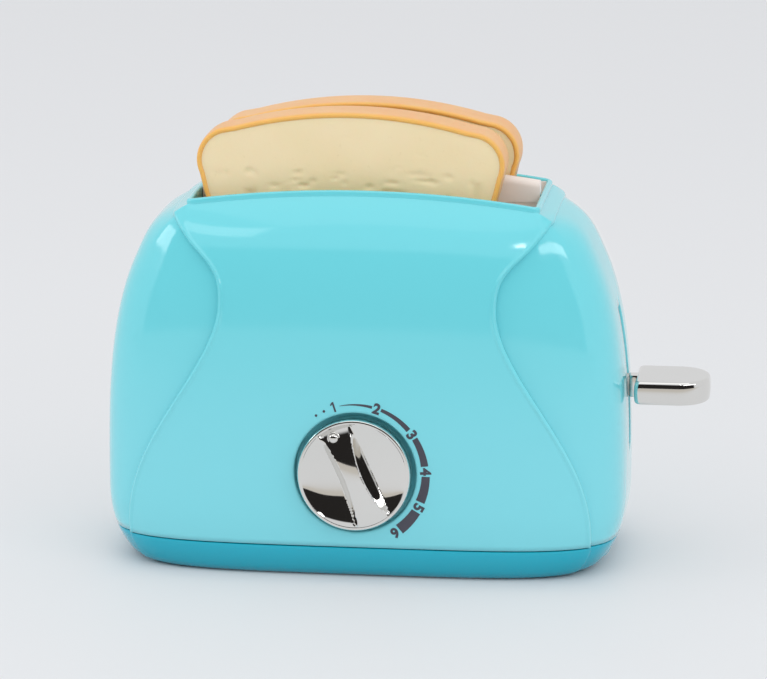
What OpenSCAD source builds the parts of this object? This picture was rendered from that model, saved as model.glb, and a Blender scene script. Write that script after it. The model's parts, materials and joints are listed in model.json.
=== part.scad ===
// Toy pop-up toaster with two toy slices and a clockwork timer.
// Origin: centre of the underside. +X towards the lever, -Y towards the knob, +Z up.

/* [Housing] */
// Width over the two ends
body_w = 170; // [160:1:200]
// Depth over the front and back panels
body_d = 84; // [82:1:96]
// Height at which the outline closes, just above the slot rim
crown_h = 125.4; // [124:0.2:140]
// Height of the joint between the housing and the base
seam_z = 10.4; // [9:0.2:11]
// Wall of the housing
wall = 2.2; // [1.8:0.1:2.6]
// How far the saddle-shaped panel stands proud of the ends
panel_rise = 1.3; // [0.8:0.1:1.6]
// Half-width of the panel at its waist
panel_waist = 44.8; // [38:0.2:50]
// Half-width of the panel at the slot rim
panel_top = 62; // [59:0.2:64]
// Half-width of the panel at the foot
panel_foot = 75.8; // [70:0.2:78]
// Height of the waist
waist_z = 88; // [82:1:94]

/* [Slot] */
// Length of the bread slot
slot_len = 110.6; // [106:0.2:114]
// Depth of the bread slot across both slices
slot_depth = 45.4; // [44:0.2:47]
// Wall of the rim round the slot
rim_wall = 1.8; // [1.2:0.1:2.4]
// How much higher the rim stands at its middle than at its corners
rim_arch = 4.3; // [2:0.1:5]

/* [Toast] */
// Width of a slice
slice_w = 100; // [88:1:102]
// Height of a slice
slice_h = 85.5; // [78:0.5:92]
// Thickness of a slice
slice_t = 14.4; // [10:0.2:15]
// Width of the crust round the pale face
crust = 1.6; // [1:0.1:3]
// Sideways place of the front slice
front_slice_x = -4.8; // [-5:0.1:5]
// Sideways place of the rear slice
rear_slice_x = -2; // [-5:0.1:5]

/* [Carriage and lever] */
// Floor of the carriage below the crown of the housing
floor_drop = 63.4; // [62:0.2:66]
// How far the lever goes down to the latch
travel_down = 15.5; // [10:0.5:16]
// How far the lever can be pulled up
travel_up = 21; // [10:0.5:22]
// Thickness of the moulded carriage walls
carriage_wall = 1.2; // [1:0.1:1.6]
// Height of the trough walls
trough_h = 9; // [6:1:14]
// Thickness of the lever arm
arm_t = 4; // [3:0.2:4.4]
// Height of the lever arm
arm_h = 6.5; // [5:0.5:8]
// Width of the lever grip, front to back
grip_w = 25; // [18:1:30]
// Length of the lever grip
grip_len = 24.4; // [18:0.2:30]
// Thickness of the lever grip
grip_t = 7.9; // [6:0.1:10]
// Radius of the guide rods
rod_r = 2; // [1.5:0.1:2.2]

/* [Knob and clockwork] */
// Radius of the knob
knob_r = 18.1; // [14:0.1:19]
// Height of the knob's axis
knob_z = 35.4; // [34:0.2:40]
// Gap round the knob in its well
well_gap = 1.6; // [1:0.1:2.4]
// Flat ring round the knob's dished face
knob_ring = 1.3; // [1:0.1:2]
// Depth of the dished face
knob_dish = 2.9; // [1.5:0.1:3]
// How far the grip bar's crown stands out past the ring
bar_rise = 2.7; // [1.5:0.1:3]
// Lean of the grip bar at rest, in degrees
bar_lean = 22.7; // [0:0.1:45]
// Gear module of the train
gear_m = 0.6; // [0.5:0.02:0.6]
// Teeth of the great wheel
great_teeth = 48; // [40:1:50]
// Teeth of the second pinion
second_pinion_teeth = 12; // [12:1:14]
// Teeth of the second wheel
second_teeth = 40; // [36:1:42]
// Teeth of the escape pinion
escape_pinion_teeth = 10; // [10:1:12]
// Teeth of the escape wheel
escape_teeth = 15; // [12:1:18]
// Swing of the latch as the cam turns, in degrees
latch_swing = 6; // [5:0.5:7]

/* [Fits] */
// Gap between pieces that slide past each other
slide_gap = 0.5; // [0.3:0.1:0.8]
// Gap between pieces that only lie together
lie_gap = 0.3; // [0.2:0.05:0.5]
// Radial clearance of a shaft in its bearing
run_gap = 0.05; // [0.02:0.01:0.1]

/* [Hidden] */

$fn = 48;
eps = 0.01;

aqua = [0.43, 0.85, 0.88];
dark_aqua = [0.18, 0.62, 0.70];
cream = [0.93, 0.90, 0.86];
chrome = [0.80, 0.80, 0.80];
steel = [0.62, 0.63, 0.65];
brass = [0.80, 0.66, 0.34];
crust_orange = [0.94, 0.73, 0.47];
crumb_yellow = [0.93, 0.87, 0.75];

// Outline of the housing: superelliptic levels, fullest at the belly
belly_z = 25.5;          // level where the ends are widest
front_belly_z = 22;      // level where the front stands out most
belly_drop = 45.8;       // depth below the belly at which the ends would close
front_drop = 59.3;       // the same for the front
corner_power = 4.2;      // squareness of a level in plan
end_shoulder = 0.02803;  // squareness of the shoulder over the ends, per mm of height
front_shoulder = 0.03868;                    // the same over the front

function end_half(z, half, crown) = z > belly_z
  ? half * pow(1 - pow((z - belly_z) / (crown - belly_z), end_shoulder * (crown_h - belly_z)), 1 / 5.1)
  : half * pow(1 - pow((belly_z - z) / belly_drop, 2.6), 1 / 2.2);
function front_half(z, half, crown) = z > front_belly_z
  ? half * pow(1 - pow((z - front_belly_z) / (crown - front_belly_z),
      front_shoulder * (crown_h - front_belly_z)), 1 / 3.3)
  : half * pow(1 - pow((front_belly_z - z) / front_drop, 2), 1 / 2);
function swell(c, power) = sign(c) * pow(abs(c), 2 / power);
function level(z, a, b, n) = [for (i = [0 : n - 1]) let (t = 360 * i / n)
  [a * swell(cos(t), corner_power), b * swell(sin(t), corner_power), z]];
// A level of the outline, drawn in by an inset.
function outline(z, inset, n, lift = 0) = level(z,
  end_half(z, body_w / 2 - inset, crown_h - lift),
  front_half(z, body_d / 2 - inset - lift, crown_h - lift), n);

// Solid through a list of levels that all have the same number of points.
module loft(levels) {
  n = len(levels[0]);
  rows = len(levels);
  polyhedron(
    points = [for (row = levels) for (p = row) p],
    faces = concat(
      [[for (i = [0 : n - 1]) i]],
      [[for (i = [n - 1 : -1 : 0]) (rows - 1) * n + i]],
      [for (r = [0 : rows - 2]) for (i = [0 : n - 1]) let (j = (i + 1) % n)
        each [[r * n + i, (r + 1) * n + i, (r + 1) * n + j],
              [r * n + i, (r + 1) * n + j, r * n + j]]]),
    convexity = 6);
}

// Closed body from a level up to its crown; lift draws the front and the crown in.
module body_solid(from_z, inset, lift, rows, n) {
  top = crown_h - lift - inset;
  loft([for (i = [0 : rows]) let (
    z = from_z + (top - from_z) * (1 - pow(1 - 0.995 * i / rows, 2.1)))
    level(z, end_half(z, body_w / 2 - inset, top),
      front_half(z, body_d / 2 - inset - lift, top), n)]);
}

// Derived places
rim_corner_z = crown_h - 5.8;
collar_top_z = crown_h - 6.2;
chute_top_z = crown_h - 16.9;
collar_flange = 2;
lead_in_drop = 6.2;                          // height of the collar's sloping faces
lead_in_edge = 0.8;                          // flat left at their top
floor_z = crown_h - floor_drop;              // top of the carriage floor
floor_t = 1.8;
arm_top_z = floor_z - floor_t;
arm_z = arm_top_z - arm_h / 2;               // middle of the lever arm
slice_gap = min(6.8, max(1.6, slot_depth - 40.2));   // between the two slices
divider_half = slice_gap / 2 - lie_gap;      // half the divider's thickness
divider_step = 0.3;                          // its wall drawn in under its cap
divider_cap = 2.2;                           // foot of the cap below the collar's top
divider_rise = 4.1;                          // crest of the cap above the rim
trough_half = slice_gap / 2 + slice_t + lie_gap + carriage_wall;
chute_wall = 1.6;
chute_half_d = trough_half + slide_gap;      // inside of the chute, front to back
chute_half_l = slot_len / 2 + 0.1;
chute_bottom_z = knob_z + 21.6;              // clear above the timer
rod_beside = 8;                              // rod's axis beside the chute's wall
rod_x = chute_half_l + chute_wall + rod_beside;
rod_socket_z = seam_z - 0.4;                 // top of the rod sockets in the base
rod_top_z = chute_top_z - 9;
rod_ear_r = 4.4;
rod_ear_t = 4;
bush_r = rod_r + 2.2;
bush_h = 10;
bush_z = arm_z - bush_h / 2;
end_slot_w = arm_t + 1.2;
end_slot_low = arm_z - arm_h / 2 - travel_down - 1.6;
end_slot_high = arm_z + arm_h / 2 + travel_up + 2;
end_slot_cut = 14;                           // reach of the cut to each side of the end

front_y = -body_d / 2;
well_r = knob_r + well_gap;
well_depth = 4.5;
well_floor = front_y + well_depth;           // outer face of the well's floor
well_back = well_floor + 1.6;
arbor_r = 2;

plate_t = 1.5;
front_plate_y = well_back + 1.5;             // front face of the front plate
plate_gap = 10.6;
back_plate_y = front_plate_y + plate_t + plate_gap;
great_y = front_plate_y + plate_t + 0.4;     // front face of each layer of the train
great_t = 1.8;
second_y = great_y + great_t + 0.6;
second_t = 1.4;
spring_y = second_y + second_t + 0.6;
spring_t = 2.8;
escape_y = spring_y + 0.5;
escape_t = 1.4;
cam_y = spring_y + spring_t + 0.6;
cam_t = 1.8;

second_angle = 25;
escape_angle = -75;
second_reach = gear_m * (great_teeth + second_pinion_teeth) / 2;
escape_reach = gear_m * (second_teeth + escape_pinion_teeth) / 2;
second_at = [second_reach * cos(second_angle), knob_z + second_reach * sin(second_angle)];
escape_at = second_at + escape_reach * [cos(escape_angle), sin(escape_angle)];
pallet_angle = -60;
pallet_reach = 9.8;
pallet_at = escape_at + pallet_reach * [cos(pallet_angle), sin(pallet_angle)];
escape_r = 7;

pillars = [[29, knob_z + 16.6], [30, knob_z - 20], [-27, knob_z + 16.6], [-24, knob_z - 20]];
pillar_r = 2.6;
screw_r = 1.1;

latch_at = [-36, knob_z - 13.4];
latch_pin_r = 1.2;
cam_r = 9.5;
cam_fall = 3.9;                              // drop of the cam over one winding
cam_turn = 174;                              // one winding of the knob, in degrees
tip_r = 1.3;
cam_lead = 127;                              // direction of the latch's tip from the arbor
tip_at = [0, knob_z] + (cam_r + tip_r + lie_gap) * [cos(cam_lead), sin(cam_lead)];
tab_x = -35;                                 // middle of the carriage's catch tab
tab_w = 4;
tab_t = 3;
tab_top_z = floor_z - 1;
tab_end_y = cam_y - 0.4;
hook_z = tab_top_z - travel_down + 0.5;      // underside of the hook
hook_h = 3;

base_screw_at = [for (sx = [-1, 1], sy = [-1, 1]) [sx * (body_w / 2 - 25), sy * (body_d / 2 - 20)]];
chute_screw_x = 38;
chute_screw_at = [for (sx = [-1, 1], sy = [-1, 1]) [sx * chute_screw_x, sy * (slot_depth / 2 + 2.4)]];
ear_half = 4;
ear_out = 1.9;                               // ear beyond its screw
ear_t = 2;
post_r = 3.6;                                // posts for the base's screws
post_h = 18;
chute_post_r = 2.2;
pillar_boss_r = 3.2;
well_wall = 1.6;
hub_r = 3.4;                                 // hole beyond the arbor in the well's floor
screw_gap = 0.2;                             // radial clearance of a screw's through hole

// Helpers
// Drawn as seen from the front, from a front face y backwards by t.
module facing(at, y, t) {
  translate([at[0], y + t, at[1]]) rotate([90, 0, 0]) linear_extrude(t) children();
}
// Round bar along Y from y0 to y1.
module bar_y(at, y0, y1, r) {
  translate([at[0], y1, at[1]]) rotate([90, 0, 0]) cylinder(h = y1 - y0, r = r);
}
module box(x, y, z) {
  translate([x[0], y[0], z[0]]) cube([x[1] - x[0], y[1] - y[0], z[1] - z[0]]);
}
module tapered_bar(a, ra, b, rb) {
  hull() {
    translate(a) circle(ra, $fn = 32);
    translate(b) circle(rb, $fn = 32);
  }
}
// Rectangle with round corners, centred.
module round_rect(x, y, r) {
  square([x - 2 * r, y], center = true);
  square([x, y - 2 * r], center = true);
  for (sx = [-1, 1], sy = [-1, 1])
    translate([sx * (x / 2 - r), sy * (y / 2 - r)]) circle(r);
}
// Tube swept along points, its end rings square to the first and last stretch.
module wire(points, r, sides = 6) {
  n = len(points);
  rings = [for (k = [0 : n - 1]) let (
      a = points[max(k - 1, 0)], b = points[min(k + 1, n - 1)],
      t = (b - a) / norm(b - a),
      side = cross(t, [0.13, 0.09, 1]), u = side / norm(side), v = cross(t, u))
    [for (i = [0 : sides - 1]) let (w = 360 * i / sides)
      points[k] + r * (cos(w) * u + sin(w) * v)]];
  loft(rings);
}
function coil(r, z0, z1, turns, steps = 8) = [for (i = [0 : turns * steps])
  let (w = 360 * i / steps) [r * cos(w), r * sin(w), z0 + (z1 - z0) * i / (turns * steps)]];

// Involute half-thickness of a tooth, in degrees, at radius r.
function inv(a) = tan(a) * 180 / PI - a;
function tooth_half(r, teeth, m) = let (
    pitch = teeth * m / 2, base = pitch * cos(20), at = max(r, base))
  90 / teeth * 0.90 + inv(20) - inv(acos(base / at));
module gear_outline(teeth, m, addendum) {
  pitch = teeth * m / 2;
  root = pitch - 1.15 * m;
  tip = pitch + addendum * m;
  flank = [for (k = [0 : 4]) root + (tip - root) * k / 4];
  polygon([for (i = [0 : teeth - 1]) let (mid = 360 * i / teeth) each concat(
    [for (r = flank) r * [cos(mid - tooth_half(r, teeth, m)), sin(mid - tooth_half(r, teeth, m))]],
    [for (k = [4 : -1 : 0]) let (r = flank[k])
      r * [cos(mid + tooth_half(r, teeth, m)), sin(mid + tooth_half(r, teeth, m))]])]);
}
module countersunk_screw(length, r, head_r, head_h) {
  difference() {
    union() {
      cylinder(h = length, r = r);
      cylinder(h = head_h, r = head_r);
    }
    for (turn = [0, 90])
      rotate(turn) translate([-head_r * 0.6, -0.35, -eps]) cube([head_r * 1.2, 0.7, head_h * 0.6]);
  }
}

// Housing
function panel_half(z) = z > waist_z
  ? let (t = min(1, (z - waist_z) / (crown_h - 10.4 - waist_z)))
    panel_waist + (panel_top - panel_waist) * (1 - cos(180 * pow(t, 1.65))) / 2
  : let (t = min(1, (waist_z - z) / (waist_z - 14)))
    panel_waist + (panel_foot - panel_waist) * (1 - cos(180 * pow(t, 0.85))) / 2;

module panel_profile() {
  steps = 26;
  side = [for (i = [0 : steps]) let (z = -1 + (crown_h + 2) * i / steps) [panel_half(z), z]];
  polygon(concat(side, [for (i = [steps : -1 : 0]) [-side[i][0], side[i][1]]]));
}
// Outer form: the panel band over set-back ends.
module housing_form(from_z, rows, n) {
  intersection() {
    body_solid(from_z, 0, 0, rows, n);
    rotate([90, 0, 0]) translate([0, 0, -body_d]) linear_extrude(2 * body_d) panel_profile();
  }
  body_solid(from_z, 0, panel_rise, rows, n);
}
// Profile of the arched rim's top, drawn on X and Z.
module rim_arch_profile(low) {
  half = slot_len / 2 + rim_wall;
  steps = 16;
  polygon(concat([[half + 1, low], [-half - 1, low]],
    [for (i = [0 : steps]) let (x = -half - 1 + (2 * half + 2) * i / steps)
      [x, rim_corner_z + rim_arch * (1 - pow(x / (slot_len / 2), 2))]]));
}
module rim() {
  intersection() {
    translate([0, 0, chute_top_z + collar_flange + lie_gap]) linear_extrude(20) difference() {
      round_rect(slot_len + 2 * rim_wall, slot_depth + 2 * rim_wall, 2.4);
      round_rect(slot_len, slot_depth, 1);
    }
    rotate([90, 0, 0]) translate([0, 0, -body_d / 2]) linear_extrude(body_d)
      rim_arch_profile(chute_top_z);
  }
}
// Screw post with a gusset towards the nearest long wall.
module gusset_post(at, z0, z1, r) {
  hull() {
    translate([at[0], at[1], z0]) cylinder(h = z1 - z0, r = r);
    translate([at[0], at[1] + sign(at[1]) * 20, z0 + 7]) cylinder(h = z1 - z0 - 7, r = r / 3);
  }
}
notch_x = 6;
notch_w = 3;
notch_h = 0.7;
module body_shell() {
  post_low = seam_z + 0.6;
  color(aqua) difference() {
    union() {
      difference() {
        union() {
          housing_form(seam_z + 0.2, 16, 48);
          rim();
        }
        body_solid(seam_z - 1, wall, panel_rise, 9, 48);
        translate([0, 0, chute_top_z - 1]) linear_extrude(40)
          round_rect(slot_len, slot_depth, 1);
      }
      intersection() {
        body_solid(seam_z + 0.2, wall / 2, panel_rise, 8, 32);
        union() {
          for (at = base_screw_at) gusset_post(at, post_low, post_low + post_h, post_r);
          for (at = chute_screw_at)
            gusset_post(at, chute_top_z + collar_flange, crown_h, chute_post_r);
          for (at = pillars) bar_y(at, front_y, front_plate_y, pillar_boss_r);
          bar_y([0, knob_z], front_y, well_back, well_r + well_wall);
        }
      }
    }
    bar_y([0, knob_z], front_y - 5, well_floor, well_r);
    bar_y([0, knob_z], front_y, well_back + 1, arbor_r + hub_r);
    for (side = [-1, 1])
      box([side * body_w / 2 - end_slot_cut, side * body_w / 2 + end_slot_cut],
        [-end_slot_w / 2, end_slot_w / 2], [end_slot_low, end_slot_high]);
    for (at = base_screw_at) translate([at[0], at[1], seam_z]) cylinder(h = 12, r = screw_r);
    for (at = chute_screw_at)
      translate([at[0], at[1], chute_top_z]) cylinder(h = 6.5, r = screw_r);
    for (at = pillars) bar_y(at, front_plate_y - 3.4, front_plate_y + 1, screw_r);
    // Small pry notch in the front seam
    box([-notch_x - notch_w / 2, -notch_x + notch_w / 2], [front_y - 1, front_y + 3],
      [seam_z, seam_z + notch_h]);
  }
}

// Cup-shaped base: a flat rest rim, a raised floor and a lip inside the housing.
tray_wall = 2.4;
tray_floor_z = 4.4;
rest_recess = 2.4;
rest_inset = 5;
pillar_foot_r = 4.4;
socket_wall = 2.8;
screw_well_r = 2.8;
screw_well_h = 5;
module base_tray() {
  n = 48;
  lip_gap = 0.7;
  lip_t = 1.3;
  lip_h = 1.5;
  color(dark_aqua) difference() {
    union() {
      loft([
        outline(rest_recess, rest_inset, n), outline(0, rest_inset, n),
        outline(0, 1.4, n), outline(0.5, 0.5, n), outline(1.6, 0, n),
        outline(seam_z / 2, 0, n), outline(seam_z, 0, n),
        outline(seam_z, wall + panel_rise + lip_gap, n),
        outline(seam_z + lip_h, wall + panel_rise + lip_gap, n),
        outline(seam_z + lip_h, wall + panel_rise + lip_gap + lip_t, n),
        outline(tray_floor_z, wall + panel_rise + lip_gap + lip_t, n)]);
      for (at = base_screw_at)
        translate([at[0], at[1], rest_recess])
          cylinder(h = seam_z + 0.5 - rest_recess, r = pillar_foot_r);
      for (side = [-1, 1])
        translate([side * rod_x, 0, rest_recess])
          cylinder(h = rod_socket_z - rest_recess, r = rod_r + socket_wall);
    }
    for (at = base_screw_at) translate([at[0], at[1], 0]) {
      cylinder(h = 30, r = screw_r + screw_gap);
      cylinder(h = screw_well_h, r = screw_well_r);
    }
    for (side = [-1, 1])
      translate([side * rod_x, 0, tray_floor_z]) cylinder(h = 10, r = rod_r);
  }
}

// Lead-in ring under the rim, narrowing from the slot to the chute.
module slot_collar() {
  half_l = slot_len / 2 - 0.2;
  half_d = slot_depth / 2 - 0.2;
  color(cream) {
    divider(half_l);
    lead_in_ring(half_l, half_d);
  }
}
// Wall between the slices with a round cap that follows the rim's arch.
module divider(half_l) {
  rows = 24;
  arc = 12;
  thin = divider_half - divider_step;
  cap_z = collar_top_z - divider_cap;
  box([-chute_half_l - chute_wall, chute_half_l + chute_wall], [-thin, thin],
    [chute_top_z, chute_top_z + collar_flange]);
  box([-half_l, half_l], [-thin, thin], [chute_top_z, cap_z + eps]);
  loft([for (i = [0 : rows]) let (
    x = half_l * (2 * i / rows - 1),
    bow_z = rim_corner_z + divider_rise + rim_arch * (1 - pow(x / (half_l + 2), 2)) - divider_half)
    concat([[x, -divider_half, cap_z], [x, divider_half, cap_z]],
      [for (k = [0 : arc]) let (w = 180 * k / arc)
        [x, divider_half * cos(w), bow_z + divider_half * sin(w)]])]);
}
module lead_in_ring(half_l, half_d) {
  difference() {
    union() {
      box([-chute_half_l - chute_wall, chute_half_l + chute_wall], [-half_d, half_d],
        [chute_top_z, chute_top_z + collar_flange]);
      translate([0, 0, chute_top_z]) linear_extrude(collar_top_z - chute_top_z)
        round_rect(2 * half_l, 2 * half_d, 0.8);
      for (at = chute_screw_at) screw_ear(at, chute_top_z, chute_top_z + collar_flange);
    }
    box([-chute_half_l, chute_half_l], [-chute_half_d, chute_half_d],
      [chute_top_z - 1, collar_top_z + 1]);
    for (side = [-1, 1]) lead_in_cut(side, half_l + 1, half_d);
    for (at = chute_screw_at)
      translate([at[0], at[1], chute_top_z - 1]) cylinder(h = 10, r = screw_r + screw_gap);
  }
}
// Flat ear from the middle out past one of the chute's screws.
module screw_ear(at, z0, z1) {
  out = at[1] + sign(at[1]) * ear_out;
  box([at[0] - ear_half, at[0] + ear_half], [min(out, 0), max(out, 0)], [z0, z1]);
}
// Cut above the sloping lead-in face, on the front (-1) or the back (1).
module lead_in_cut(side, half_l, half_d) {
  low = collar_top_z - lead_in_drop;
  edge = half_d - lead_in_edge;
  inside = chute_half_d - 1;
  slope = lead_in_drop / (edge - chute_half_d);
  translate([-half_l, 0, 0]) rotate([90, 0, 90]) linear_extrude(2 * half_l)
    polygon([[side * inside, low - slope], [side * edge, collar_top_z],
      [side * edge, collar_top_z + 2], [side * inside, collar_top_z + 2]]);
}

module chute() {
  outer_l = chute_half_l + chute_wall;
  outer_d = chute_half_d + chute_wall;
  h = chute_top_z - chute_bottom_z;
  arm_slot = arm_t / 2 + 1;
  color(cream) difference() {
    union() {
      translate([0, 0, chute_bottom_z]) linear_extrude(h)
        square([2 * outer_l, 2 * outer_d], center = true);
      for (at = chute_screw_at) screw_ear(at, chute_top_z - ear_t, chute_top_z);
      for (side = [-1, 1]) {
        box([min(side * rod_x, 0), max(side * rod_x, 0)], [-rod_ear_r, rod_ear_r],
          [rod_top_z - rod_ear_t, rod_top_z]);
        translate([side * rod_x, 0, rod_top_z - rod_ear_t]) cylinder(h = rod_ear_t, r = rod_ear_r);
      }
    }
    translate([0, 0, chute_bottom_z - 1]) linear_extrude(h + 2)
      square([2 * chute_half_l, 2 * chute_half_d], center = true);
    box([-outer_l - 1, outer_l + 1], [-arm_slot, arm_slot],
      [chute_bottom_z - 1, arm_top_z + travel_up + 1.5]);
    box([tab_x - tab_w / 2 - 1, tab_x + tab_w / 2 + 1], [-outer_d - 1, 0],
      [chute_bottom_z - 1, tab_top_z + travel_up + 1.5]);
    for (side = [-1, 1])
      translate([side * rod_x, 0, rod_top_z - rod_ear_t - 1]) cylinder(h = rod_ear_t + 0.4, r = rod_r);
    for (at = chute_screw_at)
      translate([at[0], at[1], chute_top_z - 5]) cylinder(h = 10, r = screw_r + screw_gap);
  }
}

// Carriage, lever and springs
floor_half_l = chute_half_l - slide_gap;
neck_x = body_w / 2 - 0.4;
tongue_len = 12;
tongue_t = 3;
tongue_h = arm_h - 2;
module carriage() {
  color(cream) difference() {
    union() {
      box([-floor_half_l, floor_half_l], [-trough_half, trough_half], [floor_z - floor_t, floor_z]);
      for (side = [-1, 1]) let (outer = side * trough_half, inner = side * (trough_half - carriage_wall))
        box([-floor_half_l, floor_half_l], [min(outer, inner), max(outer, inner)],
          [floor_z - eps, floor_z + trough_h]);
      box([-floor_half_l, floor_half_l], [-slice_gap / 2 + lie_gap, slice_gap / 2 - lie_gap],
        [floor_z - eps, floor_z + trough_h]);
      box([-rod_x, neck_x], [-arm_t / 2, arm_t / 2], [arm_top_z - arm_h, arm_top_z + eps]);
      for (side = [-1, 1]) translate([side * rod_x, 0, bush_z]) cylinder(h = bush_h, r = bush_r);
      box([neck_x - 1, neck_x + tongue_len], [-tongue_t / 2, tongue_t / 2],
        [arm_z - tongue_h / 2, arm_z + tongue_h / 2]);
      box([tab_x - tab_w / 2, tab_x + tab_w / 2], [tab_end_y, -trough_half + eps],
        [tab_top_z - tab_t, tab_top_z]);
    }
    for (side = [-1, 1])
      translate([side * rod_x, 0, bush_z - 1]) cylinder(h = bush_h + 2, r = rod_r + run_gap);
  }
}
module lever_grip() {
  face_x = neck_x + 2.2;
  corner = 9;
  near = 2;                                  // small corners next to the housing
  color(chrome) difference() {
    union() {
      translate([0, 0, arm_z - grip_t / 2]) linear_extrude(grip_t) {
        translate([face_x + near, -grip_w / 2]) square([grip_len - near - corner, grip_w]);
        translate([face_x, -grip_w / 2 + near]) square([grip_len - corner, grip_w - 2 * near]);
        for (sy = [-1, 1]) {
          translate([face_x + near, sy * (grip_w / 2 - near)]) circle(near);
          translate([face_x + grip_len - corner, sy * (grip_w / 2 - corner)]) circle(corner);
        }
        translate([face_x + near, -grip_w / 2 + corner])
          square([grip_len - near, grip_w - 2 * corner]);
      }
      box([neck_x + lie_gap, face_x + 1], [-arm_t / 2, arm_t / 2],
        [arm_z - grip_t / 2, arm_z + grip_t / 2]);
    }
    box([neck_x, neck_x + tongue_len + lie_gap], [-tongue_t / 2, tongue_t / 2],
      [arm_z - tongue_h / 2, arm_z + tongue_h / 2]);
  }
}
module guide_rod(side) {
  color(steel) translate([side * rod_x, 0, tray_floor_z])
    cylinder(h = rod_top_z - 0.6 - tray_floor_z, r = rod_r);
}
module lift_spring(side) {
  wire_r = 0.45;
  color(steel) translate([side * rod_x, 0, 0])
    wire(coil(rod_r + 1.2, rod_socket_z + wire_r + 0.1, bush_z - wire_r - 0.1, 8), wire_r);
}

// Toy slices
// Loaf outline on X and Z, from its foot at z = 0, drawn in by d.
module loaf(d) {
  lobe_r = 11;
  half = slice_w / 2;
  foot_half = half - 3.6;
  lobe_z = slice_h - 16.5;
  arch_half = half - lobe_r;
  arch_rise = slice_h - lobe_z - lobe_r;
  arch_r = (arch_half * arch_half + arch_rise * arch_rise) / (2 * arch_rise);
  foot_r = 6;
  steps = 12;
  span = asin(arch_half / arch_r);
  right = concat(
    [for (i = [0 : 3]) let (w = -90 + 30 * i)
      [foot_half - foot_r + (foot_r - d) * cos(w), foot_r + (foot_r - d) * sin(w)]],
    [[foot_half - d, lobe_z - 16], [foot_half + 1.2 - d, lobe_z - 10.5]],
    [for (i = [0 : steps]) let (w = -24 + (114 - span) * i / steps)
      [half - lobe_r + (lobe_r - d) * cos(w), lobe_z + (lobe_r - d) * sin(w)]],
    [for (i = [1 : steps]) let (w = 90 - span + span * i / steps)
      [(arch_r - d) * cos(w), slice_h - arch_r + (arch_r - d) * sin(w)]]);
  polygon(concat(right, [for (i = [len(right) - 2 : -1 : 0]) [-right[i][0], right[i][1]]]));
}
crumb_sink = 0.3;
module slice_crust(x, side) {
  y = side > 0 ? slice_gap / 2 : -slice_gap / 2 - slice_t;
  color(crust_orange) facing([x, floor_z + lie_gap], y, slice_t) difference() {
    loaf(0);
    loaf(crust);
  }
}
// Two pale faces tied by pegs, so that the slice is hollow.
module slice_crumb(x, side) {
  y = side > 0 ? slice_gap / 2 : -slice_gap / 2 - slice_t;
  face_t = 1.6;
  inner_t = slice_t - 2 * crumb_sink;
  peg_at = [for (px = [-1, 1], pz = [0.25, 0.7]) [px * slice_w / 4, pz * slice_h]];
  color(crumb_yellow) {
    for (face_y = [y + crumb_sink, y + crumb_sink + inner_t - face_t])
      facing([x, floor_z + lie_gap], face_y, face_t) loaf(crust);
    for (at = peg_at)
      bar_y([x + at[0], floor_z + at[1]], y + 1, y + slice_t - 1, 3.5);
  }
}

// Knob and clockwork
knob_edge_y = front_y - 3.6;
knob_back_y = well_floor - 0.5;
knob_front_t = 3;                            // left between the ring's face and the arbor's bore
bar_foot = 5.3;                              // half-width of the grip bar at its foot
bar_top = 2.5;                               // half-width of its crown
// One level of the grip bar, wider towards its ends.
function bar_level(middle, end, reach, z) = let (
    steps = 8,
    side = [for (i = [0 : steps]) let (v = 2 * i / steps - 1)
      [middle + (end - middle) * v * v, v * reach, z]])
  concat(side, [for (i = [steps : -1 : 0]) [-side[i][0], side[i][1], z]]);
module knob_bar(face_r) {
  crown_r = (face_r * face_r + bar_rise * bar_rise) / (2 * bar_rise);
  intersection() {
    rotate(bar_lean) loft([
      bar_level(bar_foot, bar_foot + 0.9, face_r, -knob_dish - 1),
      bar_level(bar_foot, bar_foot + 0.9, face_r, -knob_dish),
      bar_level(bar_top, bar_foot, face_r, bar_rise)]);
    translate([0, 0, bar_rise - crown_r]) sphere(crown_r, $fn = 144);
    translate([0, 0, -knob_dish - 1]) cylinder(h = 10, r = face_r + 0.2, $fn = 96);
  }
}
module knob() {
  skirt = knob_back_y - knob_edge_y;
  face_r = knob_r - knob_ring;
  dish_r = (face_r * face_r + knob_dish * knob_dish) / (2 * knob_dish);
  color(chrome) translate([0, knob_back_y, knob_z]) rotate([90, 0, 0]) difference() {
    union() {
      difference() {
        cylinder(h = skirt, r = knob_r, $fn = 96);
        translate([0, 0, skirt - knob_dish + dish_r]) sphere(dish_r, $fn = 144);
      }
      translate([0, 0, skirt]) knob_bar(face_r);
      translate([0, 0, -(front_plate_y - knob_back_y) + 0.4])
        cylinder(h = front_plate_y - knob_back_y, r = arbor_r + 2);
    }
    translate([0, 0, -20]) cylinder(h = 20 + skirt - knob_front_t, r = arbor_r);
  }
}
arbor_end_y = back_plate_y + plate_t + 0.3;
module winding_arbor() {
  color(steel) bar_y([0, knob_z], knob_edge_y + knob_front_t + 0.4, arbor_end_y, arbor_r);
}
module great_wheel() {
  color(brass) facing([0, knob_z], great_y, great_t) difference() {
    rotate(second_angle) gear_outline(great_teeth, gear_m, 0.65);
    circle(arbor_r);
    for (i = [0 : 4]) rotate(72 * i) translate([great_teeth * gear_m * 0.31, 0])
      circle(great_teeth * gear_m * 0.1);
  }
}
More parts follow.
